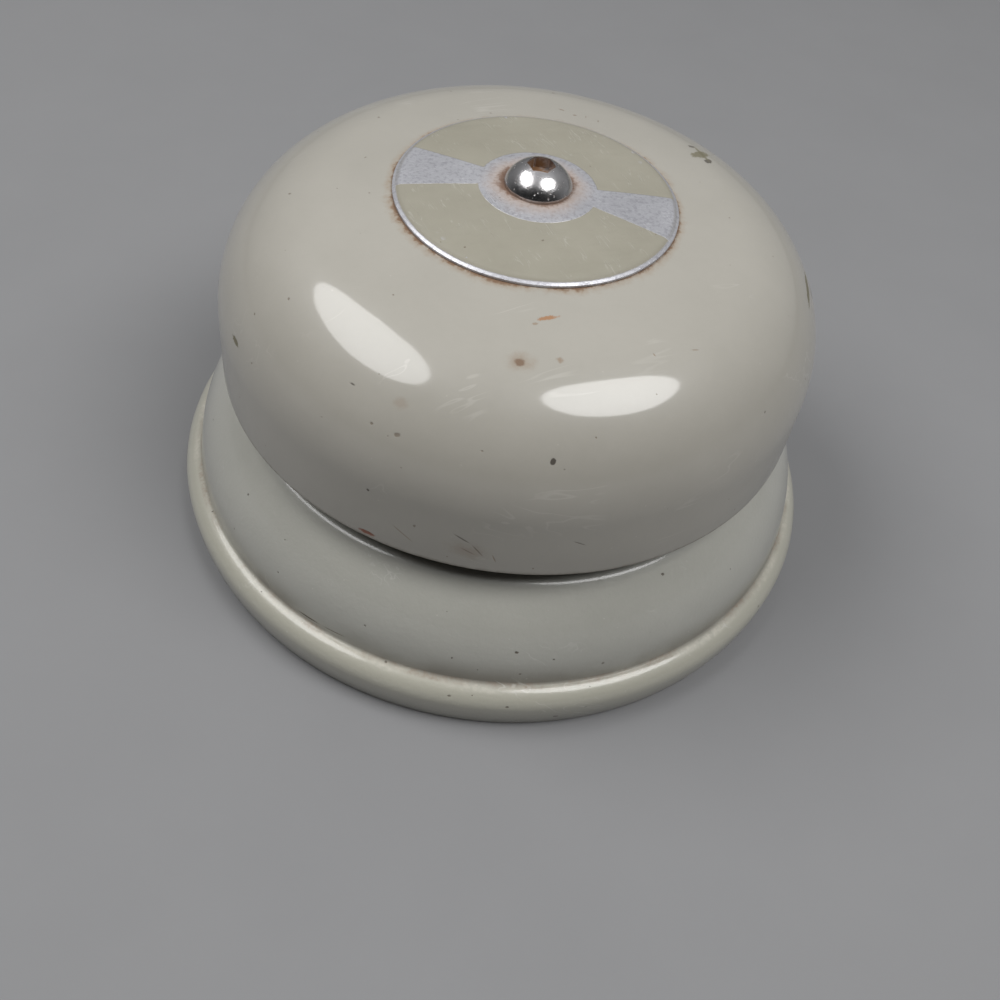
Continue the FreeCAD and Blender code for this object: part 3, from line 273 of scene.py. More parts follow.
zinc_plate = metal_finish(
    "zinc_plate", clean=(0.62, 0.61, 0.57), dull=(0.36, 0.36, 0.35), tarnish=(0.30, 0.26, 0.19),
    rough=0.55, smooth=0.3, cloud=0.006, scratch=0.4)
dress(zinc_plate, "mounting_plate", "plate_pillars")


# The pan is drawn from sheet steel: flat top, bowed side, a tight crease and a
# rolled hem that stands on the wall. It is sprayed a cooler grey than the gong,
# and the crest of the hem has yellowed and been rubbed pale.
def arc(across, up, radius, start, end, steps):
    """Points of a profile on an arc, from start to end in degrees from outwards."""
    angles = [math.radians(start + (end - start) * step / steps) for step in range(steps + 1)]
    return [(across + radius * math.cos(a), up + radius * math.sin(a)) for a in angles]


def finished(tree, shape, finish, gives, fold):
    """Ends a tree with smooth faces, creased where they fold by more than this angle
    in radians, made real and given their material."""
    bend = put(tree, "GeometryNodeInputMeshEdgeAngle").outputs[0]
    sharp = put(tree, "FunctionNodeCompare", {0: bend, 1: fold}, data_type="FLOAT", operation="GREATER_THAN")
    smooth = put(tree, "GeometryNodeSetShadeSmooth", {"Geometry": shape, "Shade Smooth": True}, domain="FACE")
    crisp = put(tree, "GeometryNodeSetShadeSmooth", {
        "Geometry": smooth.outputs[0], "Selection": sharp.outputs[0], "Shade Smooth": False}, domain="EDGE")
    solid = put(tree, "GeometryNodeRealizeInstances", {"Geometry": crisp.outputs[0]})
    done = put(tree, "GeometryNodeSetMaterial", {"Geometry": solid.outputs[0], "Material": finish})
    tree.links.new(done.outputs[0], gives["Geometry"])


def turning():
    """Geometry nodes that turn a closed profile round the bell's axis and leave the
    skin as uneven as hand-sprayed paint on pressed sheet."""
    sizes = {"Geometry": "Geometry", "Steps Round": 288, "Unevenness": 0.00002, "Wave Length": 0.014,
             "Seed": 3, "Finish": "Material"}
    tree, given, gives = new_group("Turned Sheet", "GeometryNodeTree", sizes, Geometry="Geometry")
    profile, steps = given["Geometry"], given["Steps Round"]
    count = put(tree, "GeometryNodeAttributeDomainSize", {"Geometry": profile}, component="MESH").outputs[0]
    # Each column of a grid's vertices takes the profile's places, turned on by a step. The last
    # row and the last column fall on the first ones and are merged with them.
    rows = reckon(tree, "ADD", count, 1)
    grid = put(tree, "GeometryNodeMeshGrid", {"Size X": 1.0, "Size Y": 1.0, "Vertices Y": rows,
                                              "Vertices X": reckon(tree, "ADD", steps, 1)})
    index = put(tree, "GeometryNodeInputIndex").outputs[0]
    turn = reckon(tree, "FLOOR", reckon(tree, "DIVIDE", reckon(tree, "ADD", index, 0.5), rows))
    place = reckon(tree, "MODULO", less(tree, index, times(tree, turn, rows)), count)
    corner = put(tree, "GeometryNodeSampleIndex", {"Geometry": profile, "Index": place},
                 data_type="FLOAT_VECTOR", domain="POINT")
    spot = put(tree, "GeometryNodeInputPosition").outputs[0]
    tree.links.new(spot, corner.inputs["Value"])
    angle = times(tree, reckon(tree, "DIVIDE", turn, steps), math.tau)
    spun = put(tree, "ShaderNodeVectorRotate", {"Vector": corner.outputs[0], "Angle": angle},
               rotation_type="Z_AXIS")
    skin = put(tree, "GeometryNodeSetPosition", {"Geometry": grid.outputs[0], "Position": spun.outputs[0]})
    same_place, highest_wave = 2e-6, 0.85
    whole = put(tree, "GeometryNodeMergeByDistance", {"Geometry": skin.outputs[0], "Distance": same_place})
    # The noise stays below its highest wave, so the skin is only pressed inwards.
    shift = put(tree, "ShaderNodeCombineXYZ", {0: given["Seed"], 1: given["Seed"]}).outputs[0]
    waves = noise(tree, vector(tree, "ADD", spot, shift), reckon(tree, "DIVIDE", 1.0, given["Wave Length"]),
                  Detail=2.0)
    rise = times(tree, less(tree, waves, highest_wave), given["Unevenness"])
    push = vector(tree, "SCALE", put(tree, "GeometryNodeInputNormal").outputs[0], rise)
    uneven = put(tree, "GeometryNodeSetPosition", {"Geometry": whole.outputs[0], "Offset": push})
    finished(tree, uneven.outputs[0], given["Finish"], gives, fold=0.5)
    return tree


turned_sheet = turning()


def stand(name, data):
    """A new object in the scene."""
    piece = bpy.data.objects.new(name, data)
    bpy.context.scene.collection.objects.link(piece)
    return piece


def in_the_flesh(model, name):
    """The evaluated result of a modelled piece as a plain mesh at the origin."""
    graph = bpy.context.evaluated_depsgraph_get()
    mesh = bpy.data.meshes.new_from_object(model.evaluated_get(graph), depsgraph=graph)
    mesh.name = name
    bpy.data.objects.remove(model)
    return stand(name, mesh)


def make(name, mesh, group, **sizes):
    """What a geometry node group makes of a mesh, its inputs set by identifier."""
    model = stand(name + "_model", mesh)
    maker = model.modifiers.new("Maker", "NODES")
    maker.node_group = group
    sockets = {item.name: item.identifier for item in group.interface.items_tree
               if item.item_type == "SOCKET" and item.in_out == "INPUT"}
    for label, size in sizes.items():
        maker[sockets[label.replace("_", " ")]] = size
    return in_the_flesh(model, name)


def turn_up(name, profile, finish, steps, uneven, wave, seed):
    """A piece turned from a closed profile given in millimetres as (across, up)."""
    mesh = bpy.data.meshes.new(name + "_profile")
    corners = [(across * MM, 0, up * MM) for across, up in profile]
    mesh.from_pydata(corners, [(k, (k + 1) % len(corners)) for k in range(len(corners))], [])
    return make(name, mesh, turned_sheet, Steps_Round=steps, Unevenness=uneven * MM, Wave_Length=wave * MM,
                Seed=seed, Finish=finish)


def off_axis(tree):
    """A point's distance from the bell's axis, in metres."""
    return vector(tree, "LENGTH", vector(tree, "MULTIPLY", spot_on(tree), (1.0, 1.0, 0.0)))


def above(tree):
    """A point's height above the wall, in metres."""
    return put(tree, "ShaderNodeSeparateXYZ", {0: spot_on(tree)}).outputs[2]


def marking():
    """One chip, stain or scratch in the paint: its place, the way it runs, its half
    length and half width, and how ragged its outline is."""
    sizes = {"Place": (0.0, 0.0, 0.0), "Along": (1.0, 0.0, 0.0), "Length": 0.001, "Width": 0.001,
             "Ragged": 0.5, "Soft": 0.4}
    tree, given, gives = new_group("Paint Mark", "ShaderNodeTree", sizes, Mask="Float")
    spot = spot_on(tree)
    near = vector(tree, "SUBTRACT", spot, given["Place"])
    run = vector(tree, "DOT_PRODUCT", near, given["Along"])
    aside = vector(tree, "DISTANCE", near, vector(tree, "SCALE", given["Along"], run))
    width = reckon(tree, "DIVIDE", 1.0, given["Width"])
    sides = put(tree, "ShaderNodeCombineXYZ", {0: reckon(tree, "DIVIDE", run, given["Length"]),
                                               1: times(tree, aside, width)}).outputs[0]
    bite = noise(tree, spot, times(tree, width, 0.9), Detail=4.0, Roughness=0.7)
    edge = sway(tree, vector(tree, "LENGTH", sides), bite, times(tree, given["Ragged"], 2.2))
    tree.links.new(ramp(tree, edge, 1.0, less(tree, 1.0, given["Soft"])), gives["Mask"])
    return tree


paint_mark = marking()


def scratch(start, end, width, shade, strength):
    """A scratch from one point to another, as a mark."""
    start, end = Vector(start), Vector(end)
    run, ragged, soft = end - start, 0.22, 0.5
    return (start + end) / 2, run.normalized(), run.length / 2, width, ragged, soft, shade, strength


def mark_up(tree, colour, marks):
    """Lays marks over a colour. Gives the new colour and a mask of them all. A mark
    runs along a direction, or at an angle in degrees, clockwise seen from above."""
    worn = None
    for place, along, length, width, ragged, soft, shade, strength in marks:
        if not isinstance(along, Vector):
            turn = math.radians(along)
            along = (math.cos(turn), -math.sin(turn), 0.0)
        mask = lay(tree, paint_mark, Place=tuple(part * MM for part in place), Along=tuple(along),
                   Length=length * MM, Width=width * MM, Ragged=ragged, Soft=soft)
        mask = times(tree, mask, strength)
        colour = tint(tree, mask, colour, shade)
        worn = mask if worn is None else most(tree, worn, mask)
    return colour, worn


def pan_paint():
    finish, tree = new_finish("pan_paint")
    tone = lay(tree, cloudy, Size=0.016, Detail=7.0, Contrast=1.6)
    grain = lay(tree, cloudy, Size=0.0007, Detail=5.0, Contrast=1.6)
    colour = tint(tree, tone, (0.432, 0.428, 0.382), (0.490, 0.484, 0.434))
    colour = wash(tree, colour, grain, 0.14, (0.58, 0.57, 0.54))
    up = above(tree)
    wander = sway(tree, up, tone, 0.5 * MM)
    # The hem is yellower than the side.
    hem = ramp(tree, wander, 9.8 * MM, 9.3 * MM)
    colour = wash(tree, colour, hem, 0.8, (0.455, 0.440, 0.365))
    # The side darkens down into the crease, 9.5 mm above the wall: painted shade, with some dirt.
    crease = times(tree, ramp(tree, up, 15.5 * MM, 9.8 * MM), ramp(tree, up, 9.2 * MM, 9.5 * MM))
    grime_and_shade = times(tree, crease, ramp(tree, tone, 0.1, 0.7))
    colour = wash(tree, colour, grime_and_shade, 0.66, (0.22, 0.20, 0.165))
    # The crest is rubbed pale, in patches, and along its inner side it is bruised brown.
    patch = lay(tree, cloudy, Size=0.009, Detail=6.0, Contrast=2.6)
    sand = lay(tree, cloudy, Size=0.0008, Detail=4.0, Contrast=3.0)
    bruise = times(tree, ramp(tree, up, 9.1 * MM, 9.3 * MM), ramp(tree, up, 10.1 * MM, 9.8 * MM))
    bruise = times(tree, bruise, sand, ramp(tree, patch, 0.75, 0.3))
    colour = wash(tree, colour, bruise, 0.6, (0.27, 0.20, 0.145))
    outer = ramp(tree, off_axis(tree), 56.2 * MM, 56.5 * MM)
    crest = times(tree, ramp(tree, wander, 8.7 * MM, 9.2 * MM), outer)
    rub = times(tree, crest, sand, ramp(tree, patch, 0.25, 0.75))
    colour = wash(tree, colour, rub, 0.5, (0.66, 0.62, 0.54))
    # The hem darkens towards its foot, below 6.5 mm: painted shade on its underside.
    foot = ramp(tree, wander, 6.5 * MM, 0.5 * MM)
    colour = wash(tree, colour, foot, 0.62, (0.22, 0.205, 0.155))
    dots = lay(tree, specked, Size=0.0021, Share=0.22, Width=0.13)
    grit = lay(tree, specked, Size=0.0055, Share=0.14, Width=0.09)
    dust = lay(tree, specked, Size=0.0013, Share=0.25, Width=0.12)
    lines = lay(tree, scratched, Size=0.006, Stretch=18.0, Amount=0.4, Turn=(1.2, 0.3, 0.8))
    colour = wash(tree, colour, most(tree, dots, grit), 0.75, (0.10, 0.08, 0.06))
    colour = wash(tree, colour, most(tree, lines, dust), 0.4, (0.66, 0.65, 0.61))
    dark, pale = (0.085, 0.065, 0.045), (0.70, 0.69, 0.65)
    colour, worn = mark_up(tree, colour, [
        scratch((-28.8, -47.9, 10.4), (-23.8, -50.5, 10.6), 0.24, dark, 0.9),
        scratch((-24.4, -50.2, 10.6), (-19.3, -52.4, 11.0), 0.20, dark, 0.8),
        scratch((-24.1, -48.5, 17.7), (-21.8, -50.3, 15.9), 0.14, dark, 0.7),
        scratch((-23.2, -49.0, 17.6), (-22.0, -50.0, 16.6), 0.12, dark, 0.6),
        scratch((-22.1, -50.4, 15.3), (-19.5, -51.6, 14.8), 0.13, dark, 0.7),
        scratch((-22.6, -49.9, 16.0), (-20.4, -51.3, 15.0), 0.10, dark, 0.5),
        ((-32.3, -44.6, 15.3), 0, 0.22, 0.22, 0.4, 0.4, dark, 0.9),
        ((8.1, -54.0, 16.8), 0, 0.45, 0.3, 0.5, 0.4, dark, 0.85),
        scratch((7.9, -54.1, 16.4), (7.2, -54.6, 15.2), 0.16, dark, 0.8),
        ((14.2, -53.2, 15.3), 0, 0.3, 0.22, 0.5, 0.4, dark, 0.8),
        ((9.3, -54.9, 12.2), 0, 0.3, 0.2, 0.5, 0.4, dark, 0.7),
        ((-1.4, -58.4, 8.0), 0, 0.35, 0.22, 0.5, 0.4, dark, 0.7),
        ((8.2, -58.3, 7.1), 0, 0.4, 0.25, 0.5, 0.4, dark, 0.7),
        scratch((31.0, -43.6, 17.5), (32.6, -43.4, 15.4), 0.12, pale, 0.7),
        scratch((20.5, -50.4, 16.2), (21.3, -51.2, 13.4), 0.12, pale, 0.6),
        ((-40.5, -37.0, 15.0), 50, 0.7, 0.25, 0.6, 0.4, dark, 0.7),
    ])
    satin = between(tree, grain, 0.26, 0.44)
    dull = most(tree, times(tree, rub, 0.4), grime_and_shade, worn)
    height = less(tree, times(tree, sand, 0.35), most(tree, worn, dots))
    return coat(finish, colour, between(tree, dull, satin, 0.62), height, 0.00006,
                Coat_Weight=between(tree, dull, 0.8, 0.0), Coat_Roughness=0.10)


PAN_TOP, PAN_SHEET, PAN_FLAT, PAN_SHOULDER, PAN_SIDE = 27.0, 1.2, 46.2, 3.8, 22.0
CREST, CREST_TOP, CREST_ROUND, CREST_START, CREST_END = 55.6, 9.5, 3.4, 78.0, -4.0
CREASE_BEND, HEM_FOOT, HEM_BULGE, STUD_HOLE, FLAT_RINGS = 0.5, 57.6, 16.7, 4.4, (20.0, 38.0)
GROMMET_HOLE = (-24.0, 30.0, 5.05)


def hem_arc(radius, start, end, steps):
    """The bulge of the hem from start to end, bowed outwards."""
    half = (Vector(end) - Vector(start)) / 2
    inwards = Vector((half.y, -half.x)).normalized()
    middle = Vector(start) + half + inwards * math.sqrt(radius ** 2 - half.length ** 2)
    first = math.degrees(math.atan2(start[1] - middle.y, start[0] - middle.x))
    last = math.degrees(math.atan2(end[1] - middle.y, end[0] - middle.x))
    return arc(middle.x, middle.y, radius, first, last, steps)


def bore(piece, x, y, radius, low, high):
    """A round hole through a piece, along z, in millimetres."""
    shape = bmesh.new()
    middle = Matrix.Translation((x * MM, y * MM, (low + high) / 2 * MM))
    bmesh.ops.create_cone(shape, cap_ends=True, segments=64, radius1=radius * MM, radius2=radius * MM,
                          depth=(high - low) * MM, matrix=middle)
    drill_mesh = bpy.data.meshes.new("drill")
    shape.to_mesh(drill_mesh)
    shape.free()
    drill = stand("drill", drill_mesh)
    hole = piece.modifiers.new("Hole", "BOOLEAN")
    hole.operation, hole.solver, hole.object = "DIFFERENCE", "EXACT", drill
    bored = in_the_flesh(piece, piece.name)
    bpy.data.objects.remove(drill)
    return bored


# The middles of the outline's arcs. The bowed side runs smoothly into the shoulder above and
# the crease below, and its ends follow from the triangle of the three middles.
shoulder = Vector((PAN_FLAT, PAN_TOP - PAN_SHOULDER))
bead = Vector((CREST, CREST_TOP - CREST_ROUND))
crease = Vector(arc(*bead, CREST_ROUND + CREASE_BEND, CREST_START, CREST_START, 1)[0])
apart = crease - shoulder
upper, lower = PAN_SIDE - PAN_SHOULDER, PAN_SIDE + CREASE_BEND
bearing = math.degrees(math.atan2(apart.y, apart.x))
SIDE_TOP = 180 + bearing - math.degrees(math.acos(
    (upper ** 2 + apart.length ** 2 - lower ** 2) / (2 * upper * apart.length)))
SIDE_FOOT = bearing + math.degrees(math.acos(
    (lower ** 2 + apart.length ** 2 - upper ** 2) / (2 * lower * apart.length)))
bow = Vector(arc(*shoulder, -upper, SIDE_TOP, SIDE_TOP, 1)[0])


def pan_line(depth, steps):
    """The pan's outline this deep below its outside, from its flat to its foot."""
    turned_in = arc(*bead, CREST_ROUND - depth, CREST_START, CREST_END, steps)
    return (arc(*shoulder, PAN_SHOULDER - depth, 90, SIDE_TOP, steps // 2)
            + arc(*bow, PAN_SIDE - depth, SIDE_TOP, SIDE_FOOT, steps)[1:]
            + arc(*crease, CREASE_BEND + depth, SIDE_FOOT + 180, CREST_START + 180, steps // 3)[1:]
            + turned_in[1:]
            + hem_arc(HEM_BULGE - depth, turned_in[-1], (HEM_FOOT - depth, 0.0), steps // 2)[1:])


pan_profile = ([(across, PAN_TOP) for across in (STUD_HOLE, *FLAT_RINGS)] + pan_line(0, 24)
               + pan_line(PAN_SHEET, 12)[::-1] + [(STUD_HOLE, PAN_TOP - PAN_SHEET)])
pan_profile.reverse()
pan = turn_up("pan_sheet", pan_profile, pan_paint(), steps=320, uneven=0.10, wave=17, seed=5)
pan = bore(pan, *GROMMET_HOLE, low=20.0, high=32.0)
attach(pan, "base")
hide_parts("base_pan")


# Two slotted screws hold the pan to the wall plate's pillars, and a moulded
# rubber grommet guards the hole for the supply wires. The rubber has bloomed.
dress(zinc_plate, "pan_screws")


def grommet_rubber():
    finish, tree = new_finish("black_rubber")
    tone = lay(tree, cloudy, Size=0.004, Detail=6.0, Contrast=1.8)
    dust = lay(tree, cloudy, Size=0.0009, Detail=5.0, Contrast=2.4)
    colour = tint(tree, tone, (0.018, 0.018, 0.019), (0.045, 0.044, 0.042))
    colour = wash(tree, colour, ramp(tree, dust, 0.5, 0.85), 0.35, (0.20, 0.19, 0.175))
    return coat(finish, colour, between(tree, dust, 0.50, 0.85), dust, 0.00003)


dress(grommet_rubber(), "wire_grommet")


# The post is turned from plated steel and clamped through frame and pan by a nut
# and a spring washer from below. It carries the gong.
dress(zinc_plate, "gong_post", "post_washer", "post_nut")


# The electromagnet's frame is a plated steel strip bent up at its yoke, and its
# two soft-iron cores are riveted there. Bare iron has browned a little.
dress(zinc_plate, "magnet_frame", "frame_screws")
soft_iron = metal_finish(
    "soft_iron", clean=(0.43, 0.42, 0.41), dull=(0.25, 0.24, 0.23), tarnish=(0.24, 0.12, 0.055),
    rough=0.62, smooth=0.40, cloud=0.005, scratch=0.5)
dress(soft_iron, "core_left", "core_right")


# The bobbins are moulded in dark brown phenolic with a wood filler, which shows
# as fine paler flecks under a worn gloss.
def moulding():
    finish, tree = new_finish("moulded_phenolic")
    tone = lay(tree, cloudy, Size=0.007, Detail=5.0, Contrast=1.6)
    grain = lay(tree, cloudy, Size=0.0005, Detail=4.0, Contrast=1.8)
    flecks = lay(tree, specked, Size=0.0011, Share=0.35, Width=0.22)
    worn = lay(tree, rubbed, Width=0.0003, Patches=0.003)
    colour = tint(tree, tone, (0.040, 0.027, 0.022), (0.072, 0.050, 0.040))
    colour = wash(tree, colour, flecks, 0.5, (0.13, 0.085, 0.055))
    colour = wash(tree, colour, worn, 0.5, (0.19, 0.14, 0.10))
    shine = between(tree, most(tree, worn, grain), 0.26, 0.55)
    return coat(finish, colour, shine, less(tree, grain, flecks), 0.00002)


phenolic = moulding()
dress(phenolic, "bobbin_left", "bobbin_right")


# Each coil is enamelled copper wire wound in close layers between the flanges.
# The top layer is laid turn by turn, over a core that stands for those below.
def coil_enamel():
    finish, tree = new_finish("enamelled_wire")
    tone = lay(tree, cloudy, Size=0.003, Detail=5.0, Contrast=2.0)
    fine = lay(tree, cloudy, Size=0.0004, Detail=3.0, Contrast=2.0)
    bare = lay(tree, specked, Size=0.0018, Share=0.2, Width=0.2)
    colour = tint(tree, tone, (0.36, 0.115, 0.045), (0.60, 0.255, 0.105))
    colour = wash(tree, colour, fine, 0.25, (0.22, 0.075, 0.035))
    colour = wash(tree, colour, bare, 0.6, (0.80, 0.42, 0.25))
    return coat(finish, colour, between(tree, fine, 0.24, 0.42), fine, 0.00001,
                Metallic=between(tree, tone, 0.55, 0.85), Coat_Weight=between(tree, bare, 0.7, 0.1),
                Coat_Roughness=0.18)


def winding():
    """Geometry nodes that wind one layer of wire on a core about a line along y."""
    sizes = {"Geometry": "Geometry", "Length": 0.025, "Radius": 0.008, "Bore": 0.005, "Wire": 0.0004,
             "Middle": (0.0, 0.0, 0.0), "Finish": "Material"}
    tree, given, gives = new_group("Wound Coil", "GeometryNodeTree", sizes, Geometry="Geometry")
    wire, inside = given["Wire"], given["Bore"]
    half = times(tree, wire, 0.5)
    reach = less(tree, given["Radius"], half)
    run = less(tree, given["Length"], wire)
    helix = put(tree, "GeometryNodeCurveSpiral", {
        "Resolution": 22, "Rotations": reckon(tree, "DIVIDE", run, wire), "Start Radius": reach,
        "End Radius": reach, "Height": run})
    low = put(tree, "ShaderNodeCombineXYZ", {2: times(tree, run, -0.5)}).outputs[0]
    centred = put(tree, "GeometryNodeTransform", {"Geometry": helix.outputs[0], "Translation": low})
    section = put(tree, "GeometryNodeCurvePrimitiveCircle", {"Resolution": 6, "Radius": half})
    layer = put(tree, "GeometryNodeCurveToMesh", {
        "Curve": centred.outputs[0], "Profile Curve": section.outputs[0], "Fill Caps": True})
    mid = times(tree, reckon(tree, "ADD", reach, inside), 0.5)
    ring = put(tree, "GeometryNodeCurvePrimitiveCircle", {"Resolution": 48, "Radius": mid})
    wall = put(tree, "GeometryNodeCurvePrimitiveQuadrilateral", {
        "Width": less(tree, reach, inside), "Height": given["Length"]})
    core = put(tree, "GeometryNodeCurveToMesh", {"Curve": ring.outputs[0], "Profile Curve": wall.outputs[0]})
    both = put(tree, "GeometryNodeJoinGeometry")
    for part in (layer, core):
        tree.links.new(part.outputs[0], both.inputs[0])
    laid = put(tree, "GeometryNodeTransform", {"Geometry": both.outputs[0], "Translation": given["Middle"],
                                               "Rotation": (math.radians(90), 0.0, 0.0)})
    finished(tree, laid.outputs[0], given["Finish"], gives, fold=1.2)
    return tree


wound_coil, copper = winding(), coil_enamel()
WIRE, COIL_BORE = 0.4 * MM, 5.1 * MM
for side in ("left", "right"):
    low, high = (Vector(corner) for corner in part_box("winding_" + side))
    coil = make("coil_" + side, bpy.data.meshes.new("spool_" + side), wound_coil, Finish=copper,
                Length=high.y - low.y, Radius=(high.x - low.x) / 2, Bore=COIL_BORE, Wire=WIRE,
                Middle=(low + high) / 2)
    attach(coil, "base")
    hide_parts("winding_" + side)


# The leads are coil wire drawn through varnished cotton sleeving, which has gone
# the colour of straw and is darkest where hands have soldered it.
def cotton_sleeving():
    finish, tree = new_finish("lead_sleeve")
    tone = lay(tree, cloudy, Size=0.005, Detail=5.0, Contrast=1.9)
    braid = put(tree, "ShaderNodeTexVoronoi", {"Vector": spot_on(tree), "Scale": 3200.0, "Randomness": 0.35})
    threads = ramp(tree, braid.outputs["Distance"], 0.15, 0.6)
    colour = tint(tree, tone, (0.47, 0.38, 0.20), (0.70, 0.62, 0.40))
    colour = wash(tree, colour, threads, 0.45, (0.30, 0.22, 0.10))
    return coat(finish, colour, between(tree, threads, 0.38, 0.7), less(tree, 1.0, threads), 0.00006)


sleeving = cotton_sleeving()
dress(sleeving, "coil_link")


# The armature is a soft-iron bar hung on a pivot pin in a riveted steel bracket.
# A bronze leaf returns it, and a wire rod in its end carries the brass striker.
dress(zinc_plate, "pivot_bracket", "bracket_rivets")
bright_steel = metal_finish(
    "bright_steel", clean=(0.66, 0.66, 0.665), dull=(0.46, 0.455, 0.45), tarnish=(0.33, 0.22, 0.14),
    rough=0.40, smooth=0.20, cloud=0.004, scratch=0.7)
brass = metal_finish(
    "brass", clean=(0.68, 0.52, 0.23), dull=(0.43, 0.31, 0.125), tarnish=(0.22, 0.155, 0.07),
    rough=0.42, smooth=0.20, cloud=0.005, scratch=0.6)
spring_bronze = metal_finish(
    "spring_bronze", clean=(0.62, 0.40, 0.21), dull=(0.42, 0.245, 0.12), tarnish=(0.20, 0.12, 0.07),
    rough=0.44, smooth=0.24, cloud=0.006, scratch=0.8)
contact_silver = metal_finish(
    "contact_silver", clean=(0.80, 0.79, 0.77), dull=(0.55, 0.53, 0.49), tarnish=(0.22, 0.19, 0.16),
    rough=0.36, smooth=0.18, cloud=0.002, scratch=0.5)
dress(bright_steel, "pivot_pin", "striker_rod")
dress(soft_iron, "armature")
dress(brass, "armature_rivets", "return_rivet", "striker_ball")
dress(spring_bronze, "return_spring", "contact_spring")
dress(contact_silver, "moving_contact")


# The contact pillar is brass, insulated from the frame by a strip and bushes of
# vulcanised fibre. Its screw has a silver tip and a lock nut.
def fibre_sheet():
    finish, tree = new_finish("red_fibre")
    tone = lay(tree, cloudy, Size=0.006, Detail=5.0, Contrast=1.8)
    strands = lay(tree, scratched, Size=0.0012, Stretch=10.0, Amount=1.1, Turn=(0.2, 0.7, 0.4))
    worn = lay(tree, rubbed, Width=0.0003, Patches=0.004)
    colour = tint(tree, tone, (0.24, 0.052, 0.034), (0.39, 0.100, 0.062))
    colour = wash(tree, colour, strands, 0.4, (0.50, 0.19, 0.13))
    colour = wash(tree, colour, worn, 0.5, (0.55, 0.28, 0.21))
    return coat(finish, colour, between(tree, tone, 0.45, 0.68), strands, 0.00002)


red_fibre = fibre_sheet()
dress(red_fibre, "pillar_insulator", "pillar_bushes")
dress(brass, "contact_pillar", "contact_nut", "contact_screw")
dress(zinc_plate, "pillar_screws")
dress(contact_silver, "contact_tip")


# The terminal block is moulded like the bobbins, with brass plates and screws for
# the supply, and the last leads run to it and to the contact pillar.
dress(phenolic, "terminal_block")
dress(brass, "terminal_plates", "terminal_screws")
dress(zinc_plate, "block_screws")
dress(sleeving, "coil_lead", "contact_lead", "frame_lead")


# A fibre washer lies between the post and the gong, so the gong can ring.
dress(red_fibre, "gong_washer")


